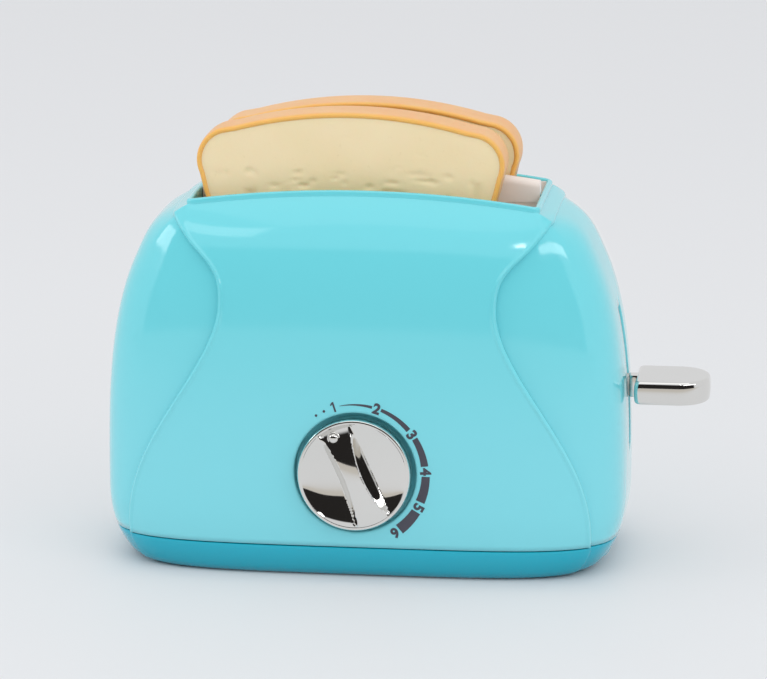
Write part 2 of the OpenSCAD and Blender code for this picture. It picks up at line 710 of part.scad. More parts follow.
// Falls steadily over one winding, then climbs back to its lobe.
function cam_radius(a) = a < cam_turn + 8
  ? cam_r - cam_fall * a / cam_turn
  : let (low = cam_r - cam_fall * (cam_turn + 8) / cam_turn)
    low + (cam_r - low) * (1 - cos(180 * (a - cam_turn - 8) / (360 - cam_turn - 8))) / 2;
module release_cam() {
  color(cream) facing([0, knob_z], cam_y, cam_t) difference() {
    polygon([for (i = [0 : 89]) let (a = 4 * i)
      cam_radius(a) * [cos(cam_lead + a), sin(cam_lead + a)]]);
    circle(arbor_r);
  }
}
module mainspring() {
  turns = 6;
  strip = 0.4;
  room = 2.9;                                // between the spring and the escape wheel
  inner_r = arbor_r + lie_gap;
  outer_r = norm(escape_at - [0, knob_z]) - escape_r - strip - room;
  steps = 24;
  count = turns * steps;
  function at(i) = let (w = 360 * i / steps) [cos(w), sin(w)];
  function reach(i) = inner_r + (outer_r - inner_r) * i / count;
  tail = pillars[0] - [pillar_r + 0.5, knob_z + pillar_r];
  color(steel) facing([0, knob_z], spring_y, spring_t)
    polygon(concat(
      [for (i = [0 : count]) reach(i) * at(i)],
      [tail - [strip, 0], tail],                 // outer end lies against a pillar
      [for (i = [count : -1 : 0]) (reach(i) + strip) * at(i)]));
}
pin_r = 0.8;
module second_wheel() {
  color(brass) {
    facing(second_at, second_y, second_t) rotate(escape_angle)
      gear_outline(second_teeth, gear_m, 0.6);
    facing(second_at, great_y - 0.1, second_y - great_y + 0.1 + eps)
      rotate(second_angle + 180 + 180 / second_pinion_teeth)
        gear_outline(second_pinion_teeth, gear_m, 0.8);
    bar_y(second_at, front_plate_y + 0.2, back_plate_y + plate_t - 0.2, pin_r);
  }
}
module escape_wheel() {
  root_r = escape_r - 1.9;
  pitch = 360 / escape_teeth;
  color(brass) {
    facing(escape_at, escape_y, escape_t) rotate(pallet_angle + pitch / 4)
      polygon([for (i = [0 : escape_teeth - 1]) let (w = i * pitch) each [
        root_r * [cos(w - pitch * 0.30), sin(w - pitch * 0.30)],
        escape_r * [cos(w), sin(w)],
        escape_r * [cos(w + pitch * 0.08), sin(w + pitch * 0.08)],
        root_r * [cos(w + pitch * 0.20), sin(w + pitch * 0.20)]]]);
    facing(escape_at, second_y - 0.1, escape_y - second_y + 0.1 + eps)
      rotate(escape_angle + 180 + 180 / escape_pinion_teeth)
        gear_outline(escape_pinion_teeth, gear_m, 0.8);
    bar_y(escape_at, front_plate_y + 0.2, back_plate_y + plate_t - 0.2, pin_r);
  }
}
module pallet() {
  spread = 50;
  pad_r = escape_r + 0.35;
  // A place beside the escape wheel, whose centre lies pallet_reach away.
  function pad_at(side, out, turn) = [-pallet_reach + (pad_r + out) * cos(spread + turn),
    side * (pad_r + out) * sin(spread + turn)];
  color(steel) facing(pallet_at, escape_y, escape_t) rotate(pallet_angle) difference() {
    union() {
      circle(2.2);
      for (side = [-1, 1]) {
        tapered_bar([0, 0], 1.4, pad_at(side, 1.6, 0), 0.9);
        tapered_bar(pad_at(side, 1.6, 0), 0.9, pad_at(side, 0.5, 3), 0.45);
      }
    }
    circle(pin_r + run_gap);
  }
}
module pallet_pin() {
  color(steel) bar_y(pallet_at, front_plate_y + 0.2, back_plate_y + plate_t - 0.2, pin_r);
}
module plate_outline() {
  low = knob_z - 24;
  high = knob_z + 20.8;
  translate([-28.5, low]) square([62.5, high - low]);
  translate([-37, latch_at[1] - 4.5]) square([10, 9]);
  translate(latch_at) circle(4.5);
}
module plate_holes() {
  translate([0, knob_z]) circle(arbor_r + run_gap);
  translate(second_at) circle(pin_r + run_gap);
  translate(escape_at) circle(pin_r + run_gap);
  translate(pallet_at) circle(pin_r);
  translate(latch_at) circle(latch_pin_r);
}
module timer_front_plate() {
  color(steel) facing([0, 0], front_plate_y, plate_t) difference() {
    plate_outline();
    plate_holes();
    for (at = pillars) translate(at) circle(screw_r + 0.15);
  }
}
module timer_back_plate() {
  color(steel) {
    facing([0, 0], back_plate_y, plate_t) difference() {
      plate_outline();
      plate_holes();
      for (at = pillars) translate(at) circle(screw_r + 0.15);
    }
    for (at = pillars) facing(at, front_plate_y + plate_t, plate_gap + eps) difference() {
      circle(pillar_r);
      circle(screw_r + 0.15);
    }
  }
}
module latch_lever() {
  nose_tip_x = tab_x - tab_w / 2 - 0.6 - latch_at[0];
  nose_reach = 7;
  hook_low = hook_z - latch_at[1];
  color(cream) facing(latch_at, cam_y, cam_t) difference() {
    union() {
      tapered_bar([0, 0], 3, tip_at - latch_at, tip_r);
      tapered_bar([0, 0], 3, [nose_tip_x - nose_reach + 1.6, hook_low + 1], 1.6);
      translate([nose_tip_x - nose_reach, hook_low]) square([nose_reach, hook_h]);
    }
    circle(latch_pin_r + run_gap);
  }
}
module latch_pin() {
  color(steel) bar_y(latch_at, front_plate_y + 0.2, back_plate_y + plate_t - 0.2, latch_pin_r);
}
module latch_spring() {
  wire_r = 0.25;
  front = front_plate_y + plate_t + wire_r + 0.1;
  color(steel) translate([latch_at[0], 0, latch_at[1]]) rotate([90, 0, 0])
    wire(coil(latch_pin_r + 0.7, -front, -cam_y + wire_r + 0.1, 6), wire_r);
}

// Fasteners
module chute_screws() {
  color(steel) for (at = chute_screw_at)
    translate([at[0], at[1], chute_top_z - 2 - 1.4]) countersunk_screw(8.4, screw_r, 2.2, 1.4);
}
module timer_screws() {
  color(steel) for (at = pillars)
    translate([at[0], back_plate_y + plate_t + 1.2, at[1]]) rotate([90, 0, 0])
      countersunk_screw(plate_gap + 2 * plate_t + 4.2, screw_r, 2.2, 1.2);
}
module base_screws() {
  color(steel) for (at = base_screw_at)
    translate([at[0], at[1], 3.6]) countersunk_screw(seam_z + 6, screw_r, 2.4, 1.4);
}

body_shell();
base_tray();
slot_collar();
chute();
carriage();
lever_grip();
guide_rod(-1);  // guide_rod_left
guide_rod(1);  // guide_rod_right
lift_spring(-1);  // lift_spring_left
lift_spring(1);  // lift_spring_right
slice_crust(front_slice_x, -1);  // slice_front_crust
slice_crumb(front_slice_x, -1);  // slice_front_crumb
slice_crust(rear_slice_x, 1);  // slice_rear_crust
slice_crumb(rear_slice_x, 1);  // slice_rear_crumb
knob();
winding_arbor();
great_wheel();
release_cam();
mainspring();
second_wheel();
escape_wheel();
pallet();
pallet_pin();
timer_front_plate();
timer_back_plate();
latch_lever();
latch_pin();
latch_spring();
chute_screws();
timer_screws();
base_screws();
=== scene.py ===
import bpy, bmesh, math, json, random
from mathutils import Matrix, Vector


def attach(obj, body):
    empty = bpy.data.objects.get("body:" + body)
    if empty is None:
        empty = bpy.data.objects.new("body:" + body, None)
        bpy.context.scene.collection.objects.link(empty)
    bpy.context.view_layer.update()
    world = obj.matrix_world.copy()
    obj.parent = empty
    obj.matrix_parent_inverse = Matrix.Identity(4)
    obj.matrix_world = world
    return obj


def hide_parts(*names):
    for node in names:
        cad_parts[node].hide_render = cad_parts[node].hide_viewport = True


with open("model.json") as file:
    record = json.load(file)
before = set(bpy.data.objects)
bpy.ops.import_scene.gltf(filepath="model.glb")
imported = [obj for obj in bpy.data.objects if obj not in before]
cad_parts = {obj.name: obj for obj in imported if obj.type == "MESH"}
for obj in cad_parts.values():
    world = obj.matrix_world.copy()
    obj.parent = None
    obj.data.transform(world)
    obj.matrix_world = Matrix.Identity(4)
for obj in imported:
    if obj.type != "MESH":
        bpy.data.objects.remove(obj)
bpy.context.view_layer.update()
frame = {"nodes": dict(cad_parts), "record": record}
random.seed(41)
print("frame loaded")

# Shapes are worked out in millimetres and scaled to metres when a piece is made.


def colour(r, g, b):
    # screen colour 0 to 255, as the linear colour that the shader wants
    return tuple(
        c / 12.92 if c <= 0.04045 else ((c + 0.055) / 1.055) ** 2.4
        for c in (r / 255, g / 255, b / 255)
    ) + (1.0,)


# materials
class Wire:  # a socket that can be used in sums
    def __init__(self, finish, socket):
        self.finish, self.socket = finish, socket

    def sum(self, operation, first, second=None, third=None):
        inputs = {k: v for k, v in enumerate((first, second, third)) if v is not None}
        return self.finish.node("Math", inputs, operation=operation).out()

    def __add__(self, other): return self.sum("ADD", self, other)
    def __radd__(self, other): return self.sum("ADD", other, self)
    def __sub__(self, other): return self.sum("SUBTRACT", self, other)
    def __rsub__(self, other): return self.sum("SUBTRACT", other, self)
    def __mul__(self, other): return self.sum("MULTIPLY", self, other)
    def __rmul__(self, other): return self.sum("MULTIPLY", other, self)
    def __truediv__(self, other): return self.sum("DIVIDE", self, other)
    def __pow__(self, other): return self.sum("POWER", self, other)
    def clamp(self): return self.sum("MINIMUM", self.sum("MAXIMUM", self, 0.0), 1.0)
    def step(self, low, high):  # smooth ramp from 0 at low to 1 at high
        inputs = {0: self, 1: low, 2: high, 3: 0.0, 4: 1.0}
        return self.finish.node("MapRange", inputs, interpolation_type="SMOOTHSTEP").out()


class Made:  # a node, with its outputs by name or number
    def __init__(self, finish, made):
        self.finish, self.made = finish, made

    def out(self, name=0):
        return Wire(self.finish, self.made.outputs[name])


class Nodes:  # a node tree under construction
    def __init__(self, tree):
        self.tree = tree
        self.place = self.node("TexCoord").out("Object")

    def plug(self, value, socket):
        if isinstance(value, Wire):
            self.tree.links.new(value.socket, socket)
        else:
            socket.default_value = value

    def node(self, kind, inputs=None, stops=None, **settings):
        made = self.tree.nodes.new("ShaderNode" + kind)
        for key, value in settings.items():
            setattr(made, key, value)
        if stops:
            ramp = made.color_ramp
            while len(ramp.elements) < len(stops):
                ramp.elements.new(0.5)
            for element, (at, shade) in zip(ramp.elements, stops):
                element.position, element.color = at, shade
        for key, value in (inputs or {}).items():
            self.plug(value, made.inputs[key])
        return Made(self, made)

    def noise(self, scale, detail=2.0, roughness=0.5, place=None, distortion=0.0):
        inputs = {"Vector": place or self.place, "Scale": scale, "Detail": detail,
                  "Roughness": roughness, "Distortion": distortion}
        return self.node("TexNoise", inputs).out("Fac")

    def stretched(self, x, y, z):
        return self.node("VectorMath", {0: self.place, 1: (x, y, z)}, operation="MULTIPLY").out()

    def mix(self, share, first, second):
        made = self.node("Mix", {0: share, 6: first, 7: second}, data_type="RGBA")
        return made.out(2)

    def bump(self, height, strength, distance, under=None):
        inputs = {"Height": height, "Strength": strength, "Distance": distance}
        if under:
            inputs["Normal"] = under
        return self.node("Bump", inputs).out()


class Finish(Nodes):  # a material under construction
    def __init__(self, name, **fixed):
        self.material = bpy.data.materials.new(name)
        self.material.use_nodes = True
        super().__init__(self.material.node_tree)
        self.shader = self.tree.nodes["Principled BSDF"]
        for key, value in fixed.items():
            self.shader.inputs[key.replace("_", " ")].default_value = value

    def surface(self, **inputs):
        for key, value in inputs.items():
            self.plug(value, self.shader.inputs[key.replace("_", " ")])
        return self.material


# top and low are painted reflection: the housing is painted darker up high, where it mirrors the
# dark room, and lighter low down, where it mirrors the pale floor
housingLook = {"top": (112, 214, 224), "low": (128, 219, 230), "deep": (70, 184, 205),
               "rough": 0.1, "coat": 0.35}


def housingPlastic():
    f = Finish("housing_plastic", IOR=1.46, Coat_Roughness=0.04)
    f.shader.inputs["Coat Weight"].default_value = housingLook["coat"]
    height = f.node("SeparateXYZ", {0: f.place}).out(2)
    cloud = f.noise(9, 3)
    # painted reflection: lighter low on the housing, darker higher up, with random tone mixed in
    base = f.mix((height.step(0.03, 0.105) + (cloud - 0.5) * 0.25).clamp(),
                 colour(*housingLook["low"]), colour(*housingLook["top"]))
    base = f.mix(f.noise(30, 4).step(0.62, 0.9) * 0.12, base, colour(*housingLook["deep"]))
    scuff = f.noise(160, 6, 0.7, f.stretched(1, 1, 0.15)).step(0.63, 0.8)
    peel = f.noise(240, 2)
    return f.surface(
        Base_Color=base,
        Roughness=housingLook["rough"] + (cloud - 0.5) * 0.05 + scuff * 0.06,
        Normal=f.bump(peel, 0.05, 0.00012, f.bump(f.noise(38, 2), 0.05, 0.0006)),
    )


def basePlastic():
    f = Finish("base_plastic", IOR=1.46, Coat_Weight=0.3, Coat_Roughness=0.05)
    height = f.node("SeparateXYZ", {0: f.place}).out(2)
    cloud = f.noise(12, 3)
    # painted shade: the base is darker towards its foot, where it turns under, with random tone
    # mixed in
    base = f.mix((height.step(0.0, 0.0105) + (cloud - 0.5) * 0.3).clamp(),
                 colour(6, 154, 176), colour(10, 175, 199))
    scuff = f.noise(190, 6, 0.7, f.stretched(0.3, 1, 1)).step(0.6, 0.8)
    return f.surface(Base_Color=base, Roughness=0.2 + (cloud - 0.5) * 0.06 + scuff * 0.1,
                     Normal=f.bump(f.noise(260, 3), 0.06, 0.00015))


def linerPlastic():
    f = Finish("liner_plastic", IOR=1.46)
    cloud = f.noise(20, 4)
    base = f.mix(cloud, colour(232, 219, 212), colour(246, 238, 232))
    return f.surface(Base_Color=base, Roughness=0.38 + (cloud - 0.5) * 0.12,
                     Normal=f.bump(f.noise(420, 3), 0.12, 0.0002))


def chromePlate():
    f = Finish("chrome_plate", Metallic=1.0)
    cloud = f.noise(26, 4)
    smear = f.noise(70, 5, 0.65, distortion=0.8).step(0.5, 0.8)
    base = f.mix(cloud, colour(224, 223, 220), colour(234, 233, 230))
    pit = f.noise(900, 2).step(0.72, 0.8)
    return f.surface(Base_Color=base, Roughness=0.035 + smear * 0.05 + pit * 0.05,
                     Normal=f.bump(f.noise(60, 2), 0.03, 0.0005))


def crumbFoam():
    f = Finish("crumb_foam", IOR=1.4, Subsurface_Weight=0.12, Subsurface_Scale=0.004)
    cloud = f.noise(24, 4)
    pores = f.noise(420, 4, 0.6)
    base = f.mix(cloud.step(0.3, 0.7), colour(240, 219, 174), colour(244, 224, 183))
    base = f.mix(pores.step(0.6, 0.78) * 0.35, base, colour(222, 199, 148))
    return f.surface(Base_Color=base, Roughness=0.5 + (pores - 0.5) * 0.2,
                     Normal=f.bump(pores, 0.2, 0.0003, f.bump(cloud, 0.2, 0.0012)))


def crustFoam():
    f = Finish("crust_foam", IOR=1.4, Subsurface_Weight=0.15, Subsurface_Scale=0.003)
    cloud = f.noise(45, 5, 0.6)
    edge = f.node("Attribute", attribute_name="edgeGlow").out("Fac")
    base = f.mix(cloud.step(0.3, 0.7), colour(234, 176, 114), colour(238, 188, 133))
    base = f.mix(edge * 0.8, base, colour(243, 186, 88))
    speck = f.noise(300, 3).step(0.62, 0.8)
    base = f.mix(speck * 0.25, base, colour(224, 150, 84))
    return f.surface(Base_Color=base, Roughness=0.42 + (cloud - 0.5) * 0.2,
                     Normal=f.bump(f.noise(350, 4), 0.15, 0.0003))


def dialInk():
    f = Finish("dial_ink")
    cloud = f.noise(200, 4)
    return f.surface(Base_Color=f.mix(cloud, colour(62, 60, 72), colour(78, 76, 88)),
                     Roughness=0.35 + (cloud - 0.5) * 0.2, Normal=f.bump(cloud, 0.1, 0.0001))


def turnedSteel():
    f = Finish("turned_steel", Metallic=1.0)
    grain = f.noise(120, 4, 0.6, f.stretched(1, 8, 1))
    return f.surface(Base_Color=f.mix(grain, colour(176, 178, 182), colour(206, 208, 210)),
                     Roughness=0.26 + grain * 0.16, Normal=f.bump(grain, 0.15, 0.0002))


def stampedBrass():
    f = Finish("stamped_brass", Metallic=1.0)
    grain = f.noise(150, 5, 0.6)
    return f.surface(Base_Color=f.mix(grain, colour(190, 152, 78), colour(216, 182, 104)),
                     Roughness=0.24 + grain * 0.2, Normal=f.bump(grain, 0.15, 0.0002))


looks = {"aqua": housingPlastic(), "dark_aqua": basePlastic(), "cream": linerPlastic(),
         "chrome": chromePlate(), "steel": turnedSteel(), "brass": stampedBrass(),
         "crust": crustFoam(), "crumb": crumbFoam(), "ink": dialInk()}
slotOf = {s["node"]: s["material_slot"] for s in frame["record"]["subparts"]}
for name, piece in frame["nodes"].items():
    piece.data.materials.clear()
    piece.data.materials.append(looks[slotOf[name]])
print("materials made")


# helpers for making pieces
def makePiece(bm, name, look, body, replaced=(), sharp=38):
    # mm to metres, into a mesh object that rides on its body
    bmesh.ops.scale(bm, vec=(0.001, 0.001, 0.001), verts=bm.verts)
    for face in bm.faces:
        face.smooth = True
    data = bpy.data.meshes.new(name)
    bm.to_mesh(data)
    bm.free()
    data.set_sharp_from_angle(angle=math.radians(sharp))
    piece = bpy.data.objects.new(name, data)
    bpy.context.scene.collection.objects.link(piece)
    data.materials.append(looks[look])
    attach(piece, body)
    if replaced:
        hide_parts(*replaced)
    return piece


def extend(bm, edges, known):
    # extrudes a chain of edges, and each new vertex takes over what is known of its old one
    made = bmesh.ops.extrude_edge_only(bm, edges=edges)["geom"]
    new = [g for g in made if isinstance(g, bmesh.types.BMVert)]
    among = set(new)
    edges = [g for g in made if isinstance(g, bmesh.types.BMEdge)
             and g.verts[0] in among and g.verts[1] in among]
    fresh = {v: known[e.other_vert(v)] for v in new for e in v.link_edges
             if e.other_vert(v) in known}
    return edges, fresh


def grow(bm, edges, placeOf):
    # extrudes a chain of edges and puts each new vertex where placeOf says
    old = {v: v.co.copy() for e in edges for v in e.verts}
    edges, fresh = extend(bm, edges, old)
    for v, p in fresh.items():
        v.co = placeOf(p)
    return edges


def ring(bm, points):
    made = bmesh.ops.create_circle(bm, segments=len(points), radius=1)["verts"]
    for v, p in zip(made, points):
        v.co = p
    return made


def loft(bm, rows):
    # first row is a ring, each further row is extruded from the one before
    order = {v: i for i, v in enumerate(ring(bm, rows[0]))}
    edges = [e for e in bm.edges if e.verts[0] in order and e.verts[1] in order]
    for row in rows[1:]:
        edges, order = extend(bm, edges, order)
        for v, i in order.items():
            v.co = row[i]
    return edges


def openEdges(bm):
    return [e for e in bm.edges if e.is_boundary]


def closeTube(bm):
    # joins the two open ends of a loft
    bmesh.ops.bridge_loops(bm, edges=openEdges(bm))
    bmesh.ops.recalc_face_normals(bm, faces=bm.faces)


def capEnds(bm, last):
    # closes both ends of a loft, the last ring first
    bmesh.ops.edgeloop_fill(bm, edges=last)
    bmesh.ops.edgeloop_fill(bm, edges=openEdges(bm))
    bmesh.ops.recalc_face_normals(bm, faces=bm.faces)


def turnOut(bm, near, way):
    # an open sheet's normals point the way they should at a known place
    bmesh.ops.recalc_face_normals(bm, faces=bm.faces)
    probe = min(bm.faces, key=lambda f: (f.calc_center_median() - Vector(near)).length)
    if probe.normal.dot(Vector(way)) < 0:
        bmesh.ops.reverse_faces(bm, faces=bm.faces)


def turns(count):
    # cosine and sine of evenly spaced angles, once round
    return [(math.cos(math.tau * i / count), math.sin(math.tau * i / count)) for i in range(count)]


def gridSheet(bm, columns, rows, placeOf):
    # an open sheet of columns by rows, placed by placeOf(column, row)
    made = bmesh.ops.create_grid(bm, x_segments=columns - 1, y_segments=rows - 1, size=1)["verts"]
    table = {v: (round((v.co.x + 1) / 2 * (columns - 1)), round((v.co.y + 1) / 2 * (rows - 1)))
             for v in made}
    for v, (c, r) in table.items():
        v.co = placeOf(c, r)
    return table


# outline of the housing, each curve with its bend and squareness above and below the belly
form = {"halfLength": 85, "halfDepth": 42, "crown": 125.4, "rise": 2.0, "square": 4.2,
        "castZ": 60.0,
        "endBelly": 25.5, "endDrop": 45.8, "endAbove": (2.8, 5.1), "endBelow": (2.6, 2.2),
        "frontBelly": 22, "frontDrop": 59.3, "frontAbove": (4, 3.3), "frontBelow": (2, 2.0)}


def curve(share, shape):
    bend, square = shape
    return max(0, 1 - share ** bend) ** (1 / square)


def endHalf(z, crown):
    belly = form["endBelly"]
    if z > belly:
        return form["halfLength"] * curve((z - belly) / (crown - belly), form["endAbove"])
    return form["halfLength"] * curve((belly - z) / form["endDrop"], form["endBelow"])


def frontHalf(z, half, crown):
    belly = form["frontBelly"]
    if z > belly:
        return half * curve((z - belly) / (crown - belly), form["frontAbove"])
    return half * curve((belly - z) / form["frontDrop"], form["frontBelow"])


def halves(z, lift):
    crown = form["crown"] - lift
    return endHalf(z, crown), frontHalf(z, form["halfDepth"] - lift, crown)


def outside(x, y, z, lift=0.0):
    # below 1 inside the housing's outline, above 1 outside it
    beyond = 9.0
    if z >= form["crown"] - lift:
        return beyond
    a, b = halves(z, lift)
    if a < 0.01 or b < 0.01:
        return beyond
    return abs(x / a) ** form["square"] + abs(y / b) ** form["square"]


def cast(x, y, z, dy, dz, lift=0.0):
    # where a ray in a plane of constant x leaves the housing
    low, high = 0.0, 90.0
    if outside(x, y, z, lift) > 1:
        return Vector((x, y, z))
    for _ in range(34):
        mid = (low + high) / 2
        if outside(x, y + mid * dy, z + mid * dz, lift) > 1:
            high = mid
        else:
            low = mid
    return Vector((x, y + low * dy, z + low * dz))


def normalAt(p, lift=0.0):
    d = 0.05
    g = Vector([outside(*(p + d * axis), lift) - outside(*(p - d * axis), lift)
                for axis in (Vector((1, 0, 0)), Vector((0, 1, 0)), Vector((0, 0, 1)))])
    return g.normalized() if g.length > 1e-9 else Vector((0, 0, 1))


# raised panel over the middle, with the well and the slot's rim
panel = {"waist": 44.8, "waistZ": 88, "flareUp": (27, 17.2, 1.65), "flareDown": (74, 31, 0.85),
         "holeX": 56.2, "holeY": 23.6, "cornerZ": 90.0, "roundWidth": 3.6, "roundRadius": 1.3,
         "bead": 0.42, "beadAt": 1.3, "beadWidth": 0.62, "beadEnd": (116, 14),
         "bottom": 10.62, "frontStep": 1.7, "cornerRows": 34, "topRows": 33, "topColumns": 77,
         "thick": 0.8, "swellX": 15.0, "swellY": 11.0}
slotSize = {"halfX": 55.3, "halfY": 22.7, "wall": 1.8, "cornerZ": 119.6, "arch": 4.3, "proud": 1.8}
well = {"z": 35.4, "r": 19.7, "mouth": 20.8, "floorY": -37.5, "clear": 23.5, "share": 0.36}


def panelHalf(z):
    # half width of the panel at a level, least at its waist
    away = z - panel["waistZ"]
    reach, gain, bend = panel["flareUp"] if away > 0 else panel["flareDown"]
    t = min(1, abs(away) / reach)
    return panel["waist"] + gain * (1 - math.cos(math.pi * t ** bend)) / 2


def rimTop(x):
    half = slotSize["halfX"] + slotSize["wall"]
    return slotSize["cornerZ"] + slotSize["arch"] * (1 - min(1, abs(x) / half) ** 2)


def topZ(x, y, lift=0.0):
    return cast(x, y, form["castZ"], 0.0, 1.0, lift).z


def shoulder(x, y):
    # how far the top is lifted or let down near the rim, so that the rim stands evenly proud
    ax, ay = abs(x), abs(y)
    hx, hy = slotSize["halfX"] + slotSize["wall"], slotSize["halfY"] + slotSize["wall"]
    out = math.hypot(max(0, ax - hx) / panel["swellX"], max(0, ay - hy) / panel["swellY"])
    if out >= 1:
        return 0.0
    qx, qy = min(ax, hx), min(ay, hy)
    if ax < hx and ay < hy:  # under the rim, the nearer side counts
        qx, qy = (hx, qy) if hx - ax < hy - ay else (qx, hy)
    share = (1 - out) ** 2 * (1 + 2 * out)
    return (rimTop(qx) - slotSize["proud"] - topZ(qx, qy)) * share


def swollen(p):
    return Vector((p.x, p.y, p.z + shoulder(p.x, p.y))) if p.z > 90 else p


def panelStations():
    # (y, z, dy, dz) of each row's rays, from the front seam over the top to the back seam
    count = int((panel["cornerZ"] - panel["bottom"]) / panel["frontStep"])
    step = (panel["cornerZ"] - panel["bottom"]) / count
    front = [(0.0, panel["bottom"] + step * i, -1.0, 0.0) for i in range(count)]
    for i in range(panel["cornerRows"]):
        m = i / panel["cornerRows"]
        turn = math.radians(90 * m)
        front.append((-panel["holeY"] * m, panel["cornerZ"], -math.cos(turn), math.sin(turn)))
    top = [(-panel["holeY"] + 2 * panel["holeY"] * i / (panel["topRows"] - 1),
            form["castZ"], 0.0, 1.0) for i in range(panel["topRows"])]
    back = [(-y, z, -dy, dz) for y, z, dy, dz in reversed(front)]
    return front + top + back


def edgeOn(station, lift=0.0):
    # half width of the panel along one row
    y, z, dy, dz = station
    half = 60.0
    for _ in range(12):
        p = cast(half, y, z, dy, dz, lift)
        half = (half + panelHalf(max(10, p.z))) / 2
    return half


def buildPanel():
    bm = bmesh.new()
    stations = panelStations()
    widest = panel["waist"] + panel["flareUp"][1]
    inner = panel["holeX"] / (widest - panel["roundWidth"])
    last = panel["topColumns"] - 1
    middle = [-inner + 2 * inner * i / last for i in range(last + 1)]
    beside = [inner + (1 - inner) * i / 4 for i in range(1, 5)]
    middle = [-u for u in reversed(beside)] + middle + beside
    # distance in from the edge, and how far below the face, round the edge
    r = panel["roundRadius"]
    rounding = []
    for d in (3.2, 2.8, 2.45, 2.15, 1.9, 1.65, 1.4, 1.18, 0.96, 0.76, 0.58, 0.42, 0.28, 0.16,
              0.06):
        ease = r - math.sqrt(max(0, r * r - (r - d) ** 2)) if d < r else 0.0
        bead = math.exp(-((d - panel["beadAt"]) / panel["beadWidth"]) ** 2)
        rounding.append((d, ease - panel["bead"] * bead))
    rounding.append((0.0, r + 0.4))
    rounding.append((0.0, r + 1.6))
    columns = ([(-1, d, s) for d, s in reversed(rounding)] + [(0, u, 0) for u in middle]
               + [(1, d, s) for d, s in rounding])
    edges = [edgeOn(s) for s in stations]

    def placeOf(c, row):
        kind, value, sink = columns[c]
        y, z, dy, dz = stations[row]
        half = edges[row]
        if kind == 0:
            return swollen(cast(value * (half - panel["roundWidth"]), y, z, dy, dz))
        p = cast(kind * (half - value * 0.95), y, z, dy, dz)
        if sink < 0:  # the bead runs out beside the rim
            end, over = panel["beadEnd"]
            sink *= max(0.0, min(1.0, (end - p.z) / over))
        return swollen(p) - normalAt(p) * sink

    place = gridSheet(bm, len(columns), len(stations), placeOf)
    # openings for the slot and the well, both along lines of the grid
    aside = [c for c, (kind, value, sink) in enumerate(columns)
             if kind == 0 and abs(value) < well["share"]]
    beyond = [row for row, (y, z, dy, dz) in enumerate(stations)
              if dy == -1.0 and z > panel["bottom"] + 1.5 and z < well["z"] + well["clear"]]
    sides, levels = (min(aside), max(aside)), (min(beyond), max(beyond))

    def inWell(v):
        c, row = place[v]
        return sides[0] <= c <= sides[1] and levels[0] <= row <= levels[1]
    gone = []
    for face in bm.faces:
        mid = face.calc_center_median()
        onTop = abs(mid.x) < panel["holeX"] and abs(mid.y) < panel["holeY"] and mid.z > 100
        if onTop or all(inWell(v) for v in face.verts):
            gone.append(face)
    bmesh.ops.delete(bm, geom=gone, context="FACES")
    mouth = [e for e in openEdges(bm) if all(v.co.y < -30 and inWell(v) for v in e.verts)]
    # well: the square opening is drawn in to a circle, then goes back to its floor
    known = {v: math.atan2(v.co.z - well["z"], v.co.x) for e in mouth for v in e.verts}
    outer = {turn: v.co.copy() for v, turn in known.items()}
    mouthR, r, floorY = well["mouth"], well["r"], well["floorY"]
    for share in (0.3, 0.6, 0.85, 1.0):
        mouth, known = extend(bm, mouth, known)
        for v, turn in known.items():
            x = outer[turn].x * (1 - share) + mouthR * math.cos(turn) * share
            z = outer[turn].z * (1 - share) + (well["z"] + mouthR * math.sin(turn)) * share
            v.co = cast(x, 0.0, z, -1.0, 0.0)
    # radius with how far behind the face, or with a fixed depth
    lip = [(20.5, 0.0), (20.25, 0.03), (20.05, 0.1), (19.88, 0.24), (19.76, 0.45), (r, 0.75)]
    inwards = [(r, -39.6), (r, floorY - 0.5), (r - 0.15, floorY - 0.15), (r - 0.5, floorY),
               (12.0, floorY), (5.4, floorY)]
    for number, (radius, depth) in enumerate(lip + inwards):
        mouth, known = extend(bm, mouth, known)
        for v, turn in known.items():
            x, z = radius * math.cos(turn), well["z"] + radius * math.sin(turn)
            onFace = number < len(lip)
            v.co = Vector((x, cast(x, 0.0, z, -1.0, 0.0).y + depth if onFace else depth, z))
    turnOut(bm, (0, -41, 80), (0, -1, 0))
    return bm


def thicken(piece, thick):
    # gives an open sheet its wall, inwards
    wall = piece.modifiers.new("wall", "SOLIDIFY")
    wall.thickness, wall.offset = thick / 1000, -1
    wall.use_even_offset = False


thicken(makePiece(buildPanel(), "front_and_top_panel", "aqua", "housing", ("body_shell",)),
        panel["thick"])
print("panel made")


def slotRing(out):
    # points round the slot, out beyond its edge, with close steps at the corners
    hx, hy, r = slotSize["halfX"] + out, slotSize["halfY"] + out, 1.0 + out
    corner = [(hx - r + r * math.cos(w), hy - r + r * math.sin(w))
              for w in (math.pi / 2 * i / 12 for i in range(13))]
    right = [(hx, (hy - r) * i / 16) for i in range(16)]
    top = [((hx - r) * (1 - i / 40), hy) for i in range(1, 40)]
    quarter = right + corner + top
    half = quarter + [(0.0, hy)] + [(-x, y) for x, y in reversed(quarter)]
    return half + [(x, -y) for x, y in reversed(half[1:-1])]


def buildRim():
    # a thin wall round the slot with a rounded top, a crease where it meets the panel
    bm = bmesh.new()
    # how far out from the slot, and how far below the rim's top
    section = [(1.8, 5.0), (1.8, 3.2), (1.8, 0.75), (1.72, 0.42), (1.52, 0.16), (1.22, 0.03),
               (0.9, 0.0), (0.58, 0.03), (0.28, 0.16), (0.08, 0.42), (0.0, 0.75), (0.0, 4.0),
               (0.0, 8.6), (0.9, 8.6)]
    loft(bm, [[Vector((x, y, rimTop(x) - drop)) for x, y in slotRing(out)]
              for out, drop in section])
    closeTube(bm)
    return bm


makePiece(buildRim(), "slot_rim", "aqua", "housing", (), 50)
print("rim made")


# ends of the housing, set back behind the panel
ends = {"bottom": 10.62, "top": 118.5, "thick": 1.4, "under": 5.0, "fade": (98, 16),
        "lastStep": 0.8, "slotHalf": 2.6, "slotLow": 36.6, "slotHigh": 83.2}


